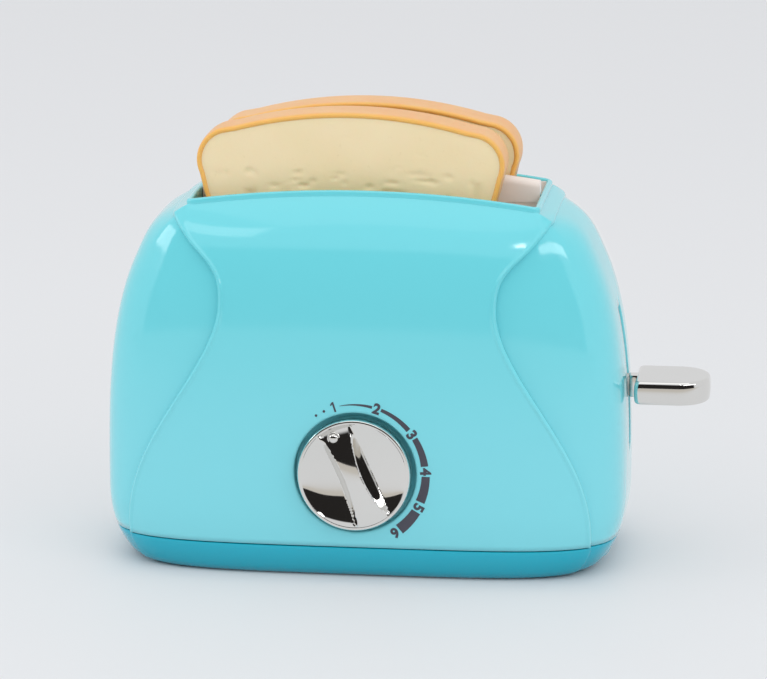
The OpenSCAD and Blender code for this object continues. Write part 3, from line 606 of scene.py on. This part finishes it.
def evenQuarter(a, b, start, count):
    # evenly spaced points of a level's quarter, from y = start at the end to the middle
    fine = []
    t0 = math.asin(min(1, (start / b)) ** (form["square"] / 2)) if start > 0 else 0.0
    for i in range(241):
        t = t0 + (math.pi / 2 - t0) * i / 240
        fine.append(Vector((a * max(0, math.cos(t)) ** (2 / form["square"]),
                            b * math.sin(t) ** (2 / form["square"]))))
    run = [0.0]
    for p, q in zip(fine, fine[1:]):
        run.append(run[-1] + (q - p).length)
    places, k = [], 0
    for i in range(count):
        want = run[-1] * i / (count - 1)
        while k < len(run) - 2 and run[k + 1] < want:
            k += 1
        share = (want - run[k]) / max(1e-9, run[k + 1] - run[k])
        places.append(fine[k].lerp(fine[k + 1], min(1, share)))
    return places


def levelRing(z, lift, inset=0.0, start=2.6, count=34):
    a, b = halves(z, lift)
    a, b = a - inset, b - inset
    quarter = evenQuarter(a, b, start, count)
    right = [Vector((a, 0))] + [Vector((a, start / 2))] + quarter
    half = right + [Vector((-p.x, p.y)) for p in reversed(right[:-1])]
    full = half + [Vector((p.x, -p.y)) for p in reversed(half[1:-1])]
    return [Vector((p.x, p.y, z)) for p in full]


def endPoint(p):
    # the step up to the panel gets lower towards the slot
    start, over = ends["fade"]
    up = max(0.0, min(1.0, (p.z - start) / over))
    out = (form["rise"] - ends["lastStep"]) * up * up * (3 - 2 * up)
    return swollen(p) + normalAt(p, form["rise"]) * out


def buildEnds():
    bm = bmesh.new()
    levels = []
    low, high = 100.0, ends["top"]
    marks = [ends["bottom"], ends["slotLow"], ends["slotHigh"], low]
    for z0, z1, n in zip(marks, marks[1:], (12, 20, 8)):
        levels += [z0 + (z1 - z0) * i / n for i in range(n)]
    n = 26  # closer together towards the top
    levels += [low + (high - low) * (1 - (1 - i / n) ** 1.5) for i in range(n + 1)]
    loft(bm, [[endPoint(p) for p in levelRing(z, form["rise"], count=44)] for z in levels])
    gone = []
    for face in bm.faces:
        mid = face.calc_center_median()
        inSlot = (abs(mid.y) < ends["slotHalf"] and abs(mid.x) > 60
                  and ends["slotLow"] < mid.z < ends["slotHigh"])
        if inSlot or abs(mid.x) < panelHalf(mid.z) - ends["under"]:
            gone.append(face)
    bmesh.ops.delete(bm, geom=gone, context="FACES")
    turnOut(bm, (84, 10, 30), (1, 0, 0))
    return bm


thicken(makePiece(buildEnds(), "shell_ends", "aqua", "housing"), ends["thick"])
print("ends made")

# base
base = {"top": 10.28, "lip": 11.9, "floor": 4.4, "recess": 2.4,
        "flare": (75.7, 3.4, 10.4, 8, 1.6), "rollUnder": (
            (2.1, 0.15), (1.4, 0.5), (0.85, 1.0), (0.4, 1.65))}


def buildBase():
    bm = bmesh.new()
    lift = form["rise"]

    def level(z, inset):
        return levelRing(z, lift, inset, start=2.6)
    rows = [level(base["lip"], 3.3), level(base["lip"], 2.0), level(base["top"], 2.0),
            level(base["top"], 0.35), level(base["top"] - 0.1, 0.1), level(base["top"] - 0.35, 0.0)]
    rows += [level(z, 0.0) for z in (8.4, 6.8, 5.2, 3.9, 2.9)]
    rows += [level(z, inset) for z, inset in base["rollUnder"]]
    inner = level(base["recess"], 5.15)
    rows += [level(0.12, 2.3), level(0.0, 3.0), level(0.0, 4.6), level(0.25, 5.0), inner]
    rows += [[Vector((p.x * k, p.y * k, base["recess"])) for p in inner] for k in (0.85, 0.5, 0.12)]
    edges = loft(bm, rows)
    bmesh.ops.edgeloop_fill(bm, edges=edges)
    # inside of the cup
    edges = grow(bm, openEdges(bm), lambda p: Vector((p.x, p.y, base["floor"])))
    edges = grow(bm, edges, lambda p: Vector((p.x * 0.5, p.y * 0.5, base["floor"])))
    bmesh.ops.edgeloop_fill(bm, edges=edges)
    bmesh.ops.recalc_face_normals(bm, faces=bm.faces)
    return bm


makePiece(buildBase(), "base_cup", "dark_aqua", "housing", ("base_tray",))


def basePanelHalf(z):
    widest, loss, top, over, bend = base["flare"]
    return widest - loss * ((top - z) / over) ** bend


def buildBasePanel(side):
    # strip in line with the panel, rolled under at the foot
    bm = bmesh.new()
    rows = [(base["top"], 0.3), (base["top"] - 0.08, 0.1), (base["top"] - 0.3, 0.0)]
    rows += [(z, 0.0) for z in (9.0, 7.6, 6.2, 4.9, 3.8, 2.9)]
    rows += [*base["rollUnder"], (0.14, 2.3), (0.06, 3.4)]
    count = 61
    r = 1.1
    rounding = [(d, r - math.sqrt(max(0, r * r - (r - d) ** 2)))
                for d in (0.8, 0.5, 0.28, 0.1, 0.0)]
    rounding.append((0.0, r + 0.9))
    columns = ([(-1, d, s) for d, s in reversed(rounding)]
               + [(0, -1 + 2 * i / (count - 1), 0) for i in range(count)]
               + [(1, d, s) for d, s in rounding])

    def placeOf(c, row):
        kind, value, sink = columns[c]
        z, inset = rows[row]
        half = basePanelHalf(z) - inset * 1.4
        x = value * (half - 1.2) if kind == 0 else kind * (half - value * 0.8)
        a, b = halves(z, 0.0)
        share = min(1, abs(x / (a - inset)))
        y = -(b - inset) * (1 - share ** form["square"]) ** (1 / form["square"])
        p = Vector((x, y, z))
        if sink:
            p -= normalAt(cast(x, 0, max(z, 0.6), -1, 0)) * sink
        return Vector((p.x, p.y * -side, max(0.03, p.z)))

    gridSheet(bm, len(columns), len(rows), placeOf)
    turnOut(bm, (0, 41 * side, 6), (0, side, 0))
    return bm


for side, label in ((-1, "front"), (1, "back")):
    strip = makePiece(buildBasePanel(side), "base_panel_" + label, "dark_aqua", "housing")
    thicken(strip, 0.7)
print("base made")

# slices
loaf = {"width": 100.0, "height": 85.5, "thick": 14.6, "foot": 62.3, "lobeR": 11.0,
        "lobeDown": 16.5, "footIn": 3.6, "footR": 6.0, "frontX": -4.8, "rearX": -2.0, "gap": 2.5,
        "deepest": 0.75}


def loafOutline(d):
    # points round the loaf on X and Z, from the middle of its foot, drawn in by d
    lobeR, footR, half, top = loaf["lobeR"], loaf["footR"], loaf["width"] / 2, loaf["height"]
    footHalf, lobeZ = half - loaf["footIn"], top - loaf["lobeDown"]
    archHalf = half - lobeR
    archRise = top - lobeZ - lobeR
    archR = (archHalf ** 2 + archRise ** 2) / (2 * archRise)
    span = math.degrees(math.asin(archHalf / archR))

    def turn(w):
        return math.cos(math.radians(w)), math.sin(math.radians(w))
    right = []
    for i in range(5):
        c, s = turn(-90 + 90 * i / 4)
        right.append((footHalf - footR + (footR - d) * c, footR + (footR - d) * s))
    for i in range(1, 10):
        z = footR + (lobeZ - 17 - footR) * i / 10
        right.append((footHalf - d, z))
    right += [(footHalf - d, lobeZ - 16), (footHalf + 0.35 - d, lobeZ - 13),
              (footHalf + 1.2 - d, lobeZ - 10.5)]
    for i in range(15):
        c, s = turn(-24 + (114 - span) * i / 14)
        right.append((half - lobeR + (lobeR - d) * c, lobeZ + (lobeR - d) * s))
    for i in range(1, 23):
        c, s = turn(90 - span + span * i / 22)
        right.append(((archR - d) * c, top - archR + (archR - d) * s))
    one = [(x, d) for x in (0.0, 12.0, 24.0, 34.0)] + right
    return one + [(-x, z) for x, z in reversed(one[1:-1])]


def buildCrust(x, y0, y1):
    # a band round the slice, its outer face slightly crowned, turned in over the crumb
    bm = bmesh.new()
    mid, halfT = (y0 + y1) / 2, (y1 - y0) / 2
    half = [(0.04, 0.4), (0.1, 0.7), (0.2, 0.88), (0.42, 0.965), (0.75, 1.0), (1.15, 1.0),
            (1.5, 0.975), (1.75, 0.93)]
    section = [(d, -t) for d, t in reversed(half)] + [(0.0, 0.0)] + half
    section += [(2.3, 0.8), (2.3, 0.0), (2.3, -0.8)]
    glow = bm.verts.layers.float.new("edgeGlow")
    loft(bm, [[Vector((x + px, mid + t * halfT, loaf["foot"] + pz)) for px, pz in loafOutline(d)]
              for d, t in section])
    closeTube(bm)
    for v in bm.verts:
        t = abs(v.co.y - mid) / halfT
        v[glow] = max(0.0, min(1.0, (t - 0.8) / 0.2))
    return bm


# least and most height, half width, half height and depth of a dimple
dimpleKinds = {"band": ((54, 66), (0.9, 2.6), (0.6, 1.15), (0.35, 0.75)),
               "spread": ((4, 82), (0.5, 1.2), (0.6, 1.6), (0.15, 0.4)),
               "count": 105, "inBand": 0.45, "halfX": 47}


def dimples(seed):
    dice = random.Random(seed)
    marks = []
    for _ in range(dimpleKinds["count"]):
        kind = dimpleKinds["band" if dice.random() < dimpleKinds["inBand"] else "spread"]
        x = dice.uniform(-dimpleKinds["halfX"], dimpleKinds["halfX"])
        marks.append((x, *[dice.uniform(least, most) for least, most in kind]))
    return marks


def buildCrumb(x, y0, y1, seed):
    # both faces of the slice, softly crowned, with dimples pressed in
    bm = bmesh.new()
    marks = dimples(seed)
    mid, halfT = (y0 + y1) / 2, (y1 - y0) / 2
    outline = loafOutline(1.5)
    centre = (0.0, loaf["height"] * 0.52)
    shares = [1.0, 0.985, 0.96, 0.93, 0.9] + [0.875 - 0.875 * i / 75 for i in range(75)]
    for side in (-1, 1):
        rows = []
        for k in shares:
            line = []
            for px, pz in outline:
                qx, qz = centre[0] + (px - centre[0]) * k, centre[1] + (pz - centre[1]) * k
                edge = min(1.0, (1 - k) / 0.07)
                crown = halfT * 0.9 + (halfT * 0.1 - 0.45) * (1 - (1 - edge) ** 2)
                crown += 0.25 * (1 - k * k)
                press = 0.0
                for mx, mz, rx, rz, deep in marks:
                    dd = ((qx - mx) / rx) ** 2 + ((qz - mz) / rz) ** 2
                    if dd < 4:
                        press += deep * math.exp(-dd * 1.6)
                out = side * (crown - min(press, loaf["deepest"]))
                line.append(Vector((x + qx, mid + out, loaf["foot"] + qz)))
            rows.append(line)
        bmesh.ops.edgeloop_fill(bm, edges=loft(bm, rows))
    closeTube(bm)
    return bm


for label, x, side, seed in (("front", loaf["frontX"], -1, 5), ("rear", loaf["rearX"], 1, 8)):
    near, far = loaf["gap"], loaf["gap"] + loaf["thick"]
    y0, y1 = (-far, -near) if side < 0 else (near, far)
    body = "slice_" + label
    for made, part, look in ((buildCrust(x, y0, y1), "_rind", "crust"),
                             (buildCrumb(x, y0, y1, seed), "_face", "crumb")):
        makePiece(made, body + part, look, body, (body + "_" + look,), 60)
print("slices made")

# knob
knobSize = {"z": 35.4, "r": 18.25, "back": -38.0, "edge": -45.6, "ring": 1.3, "dish": 2.5,
            "barLean": 22.7, "barRise": 2.55, "barTop": 2.6, "barFoot": 5.4, "segments": 192,
            "steps": 60, "boreR": 4.2, "boreDeep": 5.0, "pointer": (-6.45, 12.15),
            "dishLip": (0.6, 9), "topWiden": (2.6, 1.8), "footWiden": (0.8, 2), "facet": 1.2,
            "fallUp": (2.7, 0.12, 1.7), "fallTip": (4.6, -0.42, 2), "fallDown": (0.75, -0.3, 2),
            "fallRim": (1.6, 6), "crowned": 0.1, "eased": 0.35}


def power(figures, value):
    gain, bend = figures
    return gain * value ** bend


def past(figures, value):
    # grows from nothing once value is beyond -shift
    gain, shift, bend = figures
    return gain * max(0, value + shift) ** bend


def knobFace(x, z):
    # how far the face stands out from the ring: a dished ground with a crowned bar across it
    size = knobSize
    lean = math.radians(size["barLean"])
    across = x * math.cos(lean) + z * math.sin(lean)
    along = z * math.cos(lean) - x * math.sin(lean)
    inner = size["r"] - size["ring"]
    share = min(1.0, math.hypot(x, z) / inner)
    deep, bend = size["dishLip"]
    dish = -size["dish"] * (1 - share * share) - deep * (1 - share ** bend)
    pull = min(1.0, abs(along) / inner)
    halfTop = size["barTop"] + power(size["topWiden"], pull)
    halfFoot = max(size["barFoot"] + power(size["footWiden"], pull), halfTop + size["facet"])
    up = along / inner  # the crown falls away more towards its pointer end
    fall = past(size["fallUp"], up) + past(size["fallTip"], up) + past(size["fallDown"], -up)
    fall += power(size["fallRim"], share) * (up < 0)
    crown = size["barRise"] - fall - size["crowned"] * (across / halfTop) ** 2
    t = (abs(across) - halfTop) / (halfFoot - halfTop)
    if t <= 0:
        return crown
    if t >= 1:
        return dish
    eased = size["eased"]
    side = t * t * (3 - 2 * t) * eased + t * (1 - eased)  # steep facet, eased at both its edges
    return crown + (dish - crown) * side


def buildKnob():
    bm = bmesh.new()
    size = knobSize
    depth = size["back"] - size["edge"]
    r = size["r"]
    # radius and how far forward of the back face, from the back to the ring
    profile = [(size["boreR"], 0.0), (r - 0.6, 0.0), (r - 0.15, 0.15), (r, 0.6), (r, depth - 0.8),
               (r - 0.1, depth - 0.4), (r - 0.35, depth - 0.1), (r - 0.65, depth),
               (r - 1.0, depth), (r - 1.2, depth - 0.05)]

    def circle(radius, depthOf):
        places = [(radius * c, radius * s) for c, s in turns(size["segments"])]
        return [Vector((x, depthOf(x, z), size["z"] + z)) for x, z in places]
    rows = [circle(radius, lambda x, z: size["back"] - out) for radius, out in profile]
    inner, steps = r - size["ring"], size["steps"]
    rows += [circle(inner * (1 - j / steps), lambda x, z: size["edge"] - knobFace(x, z))
             for j in range(steps)]
    bmesh.ops.edgeloop_fill(bm, edges=loft(bm, rows))
    back = grow(bm, openEdges(bm), lambda p: Vector((p.x, p.y + size["boreDeep"], p.z)))
    capEnds(bm, back)
    return bm


def buildPointer():
    # the small round bump with a collar that marks where the knob points
    bm = bmesh.new()
    x, z = knobSize["pointer"]
    groundY = knobSize["edge"] - knobFace(x, z)
    section = [(2.05, -0.5), (2.05, 0.12), (1.95, 0.22), (1.8, 0.22), (1.7, 0.1), (1.62, 0.06)]
    section += [(1.6 * math.cos(w), 0.06 + 1.15 * math.sin(w)) for w in
                (math.pi / 2 * k / 10 for k in range(10))]
    rows = [[Vector((x + r * c, groundY - out, knobSize["z"] + z + r * s)) for c, s in turns(40)]
            for r, out in section]
    capEnds(bm, loft(bm, rows))
    return bm


makePiece(buildKnob(), "knob_cap", "chrome", "knob", ("knob",), 28)
makePiece(buildPointer(), "knob_pointer", "chrome", "knob", (), 40)
print("knob made")

# lever grip
grip = {"x0": 86.8, "x1": 111.1, "halfY": 12.4, "low": 53.05, "high": 60.85, "corner": 10.5,
        "backCorner": 1.6}
neck = {"size": (3.2, 3.9, 7.4), "place": (86.2, 0, 56.95), "bevel": 0.35}


def gripOutline(inset):
    # plan of the grip: flat next to the housing, round at its outer corners
    g, k = grip, grip["corner"]
    outline = []
    for i in range(25):
        w = math.radians(-90 + 90 * i / 24)
        outline.append((g["x1"] - k + (k - inset) * math.cos(w),
                        -g["halfY"] + k + (k - inset) * math.sin(w)))
    outline += [(x, -y) for x, y in reversed(outline)]
    x0, h, r = g["x0"] + inset, g["halfY"] - inset, g["backCorner"]
    for i in range(7):
        w = math.radians(90 + 90 * i / 6)
        outline.append((x0 + r + r * math.cos(w), h - r + r * math.sin(w)))
    outline += [(x, -y) for x, y in reversed(outline[-7:])]
    return outline


def buildGrip():
    bm = bmesh.new()
    low, high = grip["low"], grip["high"]
    # inset and height, from the underside round the barrelled side to the flat top
    section = [(5.0, 0.0), (1.7, 0.0), (1.25, 0.04), (0.85, 0.18), (0.55, 0.42), (0.33, 0.75),
               (0.2, 1.2), (0.1, 2.0), (0.03, 3.0), (0.0, 3.9), (0.03, 4.8), (0.1, 5.7),
               (0.2, 6.45), (0.31, 6.95), (0.48, 7.3), (0.72, 7.55), (1.02, 7.71), (1.4, 7.79),
               (1.9, 7.8), (5.0, 7.8)]
    tall = section[-1][1]
    rows = [[Vector((x, y, low + (high - low) * up / tall)) for x, y in gripOutline(inset)]
            for inset, up in section]
    capEnds(bm, loft(bm, rows))
    return bm


makePiece(buildGrip(), "lever_cap", "chrome", "carriage", ("lever_grip",), 50)
neckMesh = bmesh.new()
bmesh.ops.create_cube(neckMesh, size=1)
bmesh.ops.scale(neckMesh, vec=neck["size"], verts=neckMesh.verts)
bmesh.ops.translate(neckMesh, vec=neck["place"], verts=neckMesh.verts)
bmesh.ops.bevel(neckMesh, geom=neckMesh.edges[:], offset=neck["bevel"], segments=3, affect="EDGES",
                profile=0.5, material=-1)
makePiece(neckMesh, "lever_neck", "chrome", "carriage")
print("lever made")

# dial marks
dial = {"digit": 3.35, "capShare": 0.72, "bold": 0.2, "dotR": 0.42, "dotOut": 22.4,
        "sunk": 0.02, "thick": 0.07}
# figure, clockwise turn from the top, distance out from the knob's middle
dialMarks = [("1", -17.8, 22.6), ("2", 18.1, 22.5), ("3", 54.2, 22.6), ("4", 87.0, 22.8),
             ("5", 117.6, 23.2), ("6", 146.4, 23.4)]


def onFront(x, z, lift):
    p = cast(x, 0.0, z, -1.0, 0.0)
    return Vector((p.x, p.y - lift, p.z))


def finishMark(bm, name):
    # flat marks in the plane of the front become thin raised ink that follows the panel
    bmesh.ops.remove_doubles(bm, verts=bm.verts, dist=0.001)
    bmesh.ops.triangulate(bm, faces=bm.faces)
    for v in bm.verts:
        v.co = onFront(v.co.x, v.co.z, dial["sunk"])
    bmesh.ops.recalc_face_normals(bm, faces=bm.faces)
    made = bmesh.ops.extrude_face_region(bm, geom=bm.faces[:])["geom"]
    bmesh.ops.translate(bm, vec=(0, -dial["thick"], 0),
                        verts=[g for g in made if isinstance(g, bmesh.types.BMVert)])
    bmesh.ops.recalc_face_normals(bm, faces=bm.faces)
    makePiece(bm, name, "ink", "housing")


def aroundKnob(x, z, turn, out):
    # turned clockwise with the dial, then out to the ring
    w = math.radians(turn)
    return Vector((x * math.cos(w) + (z + out) * math.sin(w), 0,
                   knobSize["z"] - x * math.sin(w) + (z + out) * math.cos(w)))


def digitMesh(text, turn, out):
    curve = bpy.data.curves.new("digit", "FONT")
    curve.body = text
    curve.size = dial["digit"] / dial["capShare"]
    curve.align_x, curve.align_y = "CENTER", "CENTER"
    curve.offset = dial["bold"]
    made = bpy.data.objects.new("digit", curve)
    bpy.context.scene.collection.objects.link(made)
    bpy.context.view_layer.update()
    graph = bpy.context.evaluated_depsgraph_get()
    data = bpy.data.meshes.new_from_object(made.evaluated_get(graph))
    bpy.data.objects.remove(made)
    bm = bmesh.new()
    bm.from_mesh(data)
    bpy.data.meshes.remove(data)
    xs = [v.co.x for v in bm.verts]
    ys = [v.co.y for v in bm.verts]
    cx, cy = (min(xs) + max(xs)) / 2, (min(ys) + max(ys)) / 2
    for v in bm.verts:
        v.co = aroundKnob(v.co.x - cx, v.co.y - cy, turn, out)
    return bm


def oneMesh(turn, out):
    # the font's 1 is a plain bar, so it is drawn here, with its flag
    points = [(-0.1, -1.68), (0.45, -1.68), (0.45, 1.68), (0.0, 1.68), (-0.8, 1.05),
              (-0.8, 0.55), (-0.1, 0.95)]
    bm = bmesh.new()
    ring(bm, [aroundKnob(x, z, turn, out) for x, z in points])
    bmesh.ops.edgeloop_fill(bm, edges=bm.edges[:])
    return bm


for text, turn, out in dialMarks:
    marked = oneMesh(turn, out) if text == "1" else digitMesh(text, turn, out)
    finishMark(marked, "dial_digit_" + text)
for number, turn in enumerate((-33.9, -26.4)):
    bm = bmesh.new()
    middle = aroundKnob(0, 0, turn, dial["dotOut"])
    ring(bm, [middle + dial["dotR"] * Vector((c, 0, s)) for c, s in turns(24)])
    bmesh.ops.contextual_create(bm, geom=bm.verts[:])
    finishMark(bm, "dial_dot_%d" % number)
# turn at both ends, distance out, thickness at both ends
bands = [(-12.6, 14.2, 22.5, 0.12, 0.9), (21.8, 49.6, 22.6, 1.05, 1.6),
         (58.2, 82.6, 22.6, 1.9, 2.4), (91.2, 112.8, 22.8, 2.6, 3.0),
         (121.6, 141.6, 23.1, 3.1, 3.6)]
for number, (start, end, out, thin, thick) in enumerate(bands):
    bm = bmesh.new()
    count = 28
    inside, outsideRow = [], []
    for i in range(count):
        share = i / (count - 1)
        turn = start + (end - start) * share
        half = (thin + (thick - thin) * share) / 2
        for row, radius in ((inside, out - half), (outsideRow, out + half)):
            row.append(aroundKnob(0, 0, turn, radius))
    bmesh.ops.create_grid(bm, x_segments=count - 1, y_segments=1, size=1)
    for v in bm.verts:
        i = round((v.co.x + 1) / 2 * (count - 1))
        v.co = (inside if v.co.y < 0 else outsideRow)[i]
    finishMark(bm, "dial_band_%d" % number)
print("dial made")

# floor, light and camera
camera = {"azimuth": 7.156, "elevation": 13.322, "distance": 1.444985,
          "target": (0.00395, 0.0, 0.06959), "focal": 4417.665, "width": 767, "sensor": 36.0}


paper = {"floor": (226, 227, 229), "seen": (228, 229, 231), "share": 0.38, "mirrored": 0.85,
         "lit": 1.1, "room": (40, 38, 37), "far": (206, 200, 190), "standX": 0.07,
         "standY": 0.032, "halfX": 3.0, "halfY": 2.75, "back": 0.25}


def floorPaper():
    # plain paper that keeps the shadow but looks even behind the toy, also in its reflections
    f = Finish("floor_paper")
    f.surface(Base_Color=f.mix(f.noise(3, 3), colour(*paper["floor"]), colour(*paper["seen"])),
              Roughness=0.6 + (f.noise(60, 3) - 0.5) * 0.1)
    rays = f.node("LightPath")
    axes = f.node("SeparateXYZ", {0: f.place})
    near = axes.out(1).step(-0.6, -0.16)
    glow = f.mix(near, colour(*paper["far"]), colour(*paper["seen"]))
    glow = f.mix(rays.out("Is Glossy Ray"), colour(*paper["seen"]), glow)
    even = f.node("Emission", {"Color": glow, "Strength": 1.0}).out()
    plain = f.tree.nodes["Principled BSDF"].outputs[0]
    # under the toy nothing is evened out, so the shadow where it stands stays dark
    x, y = (axes.out(k).sum("ABSOLUTE", axes.out(k)) for k in (0, 1))
    clear = x.sum("MAXIMUM", x - paper["standX"], y - paper["standY"]).step(0.0, 0.024)
    share = (rays.out("Is Camera Ray") * paper["share"]
             + rays.out("Is Glossy Ray") * paper["mirrored"]) * clear
    mixed = f.node("MixShader", {0: share, 1: Wire(f, plain), 2: even}).out()
    f.plug(mixed, f.tree.nodes["Material Output"].inputs["Surface"])
    return f.material


floorMesh = bmesh.new()
bmesh.ops.create_grid(floorMesh, x_segments=1, y_segments=1, size=1)
bmesh.ops.scale(floorMesh, vec=(paper["halfX"], paper["halfY"], 1.0), verts=floorMesh.verts)
bmesh.ops.translate(floorMesh, vec=(0, -paper["back"], 0), verts=floorMesh.verts)
floorData = bpy.data.meshes.new("floor")
floorMesh.to_mesh(floorData)
floorMesh.free()
floor = bpy.data.objects.new("floor", floorData)
bpy.context.scene.collection.objects.link(floor)
floorData.materials.append(floorPaper())

# azimuth (0 is in front, + to the right), elevation, width and height in degrees, brightness
lamps = {"left": (-80, 24, 34, 12, 2.5), "right": (52, 28.5, 43, 7, 3.4),
         "high": (-31, 45, 17, 8, 1.3), "small": (18.7, 40.8, 2.6, 2.6, 14.0),
         "top": (20, 80, 50, 50, 0.35)}
lampsAway, lampsAim = 1.3, (0, 0, 0.07)


def direction(azimuth, elevation):
    az, el = math.radians(azimuth), math.radians(elevation)
    return Vector((math.sin(az) * math.cos(el), -math.cos(az) * math.cos(el), math.sin(el)))


def softLamp(name, azimuth, elevation, wide, tall, glow):
    lamp = bpy.data.lights.new("lamp_" + name, "AREA")
    lamp.shape = "RECTANGLE"
    lamp.size = 2 * lampsAway * math.tan(math.radians(wide / 2))
    lamp.size_y = 2 * lampsAway * math.tan(math.radians(tall / 2))
    lamp.energy = 4 * glow * lamp.size * lamp.size_y
    made = bpy.data.objects.new("lamp_" + name, lamp)
    bpy.context.scene.collection.objects.link(made)
    out = direction(azimuth, elevation)
    made.location = Vector(lampsAim) + out * lampsAway
    made.rotation_euler = out.to_track_quat("Z", "Y").to_euler()


for name, figures in lamps.items():
    softLamp(name, *figures)

world = bpy.data.worlds.new("studio")
bpy.context.scene.world = world
world.use_nodes = True
w = Nodes(world.node_tree)
axes = w.node("SeparateXYZ", {0: w.place})
ahead, up = 0 - axes.out(1), axes.out(2)
# mirrored, the room in front of the toy is dark from the floor's edge up to the ceiling
dark = ahead.step(0.42, 0.5) * up.step(-0.05, 0.0) * (1 - up.step(0.5, 0.56))
room = w.mix(dark, colour(*paper["seen"]), colour(*paper["room"]))
rays = w.node("LightPath")
lit = w.node("Background", {0: colour(*paper["seen"]), 1: paper["lit"]}).out()
mirrored = w.node("Background", {0: room, 1: 1.0}).out()
seen = w.node("Background", {0: colour(*paper["seen"]), 1: 1.0}).out()
shade = w.node("MixShader", {0: rays.out("Is Glossy Ray"), 1: lit, 2: mirrored}).out()
shade = w.node("MixShader", {0: rays.out("Is Camera Ray"), 1: shade, 2: seen}).out()
w.plug(shade, world.node_tree.nodes["World Output"].inputs["Surface"])

view = bpy.context.scene.view_settings
view.view_transform = "Standard"
lens = bpy.data.cameras.new("camera")
lens.lens = camera["focal"] * camera["sensor"] / camera["width"]
lens.sensor_width = camera["sensor"]
lens.clip_start, lens.clip_end = 0.05, 50
cameraObject = bpy.data.objects.new("camera", lens)
bpy.context.scene.collection.objects.link(cameraObject)
towards = direction(camera["azimuth"], camera["elevation"])
cameraObject.location = Vector(camera["target"]) + towards * camera["distance"]
cameraObject.rotation_euler = towards.to_track_quat("Z", "Y").to_euler()
bpy.context.scene.camera = cameraObject

print("scene ready")
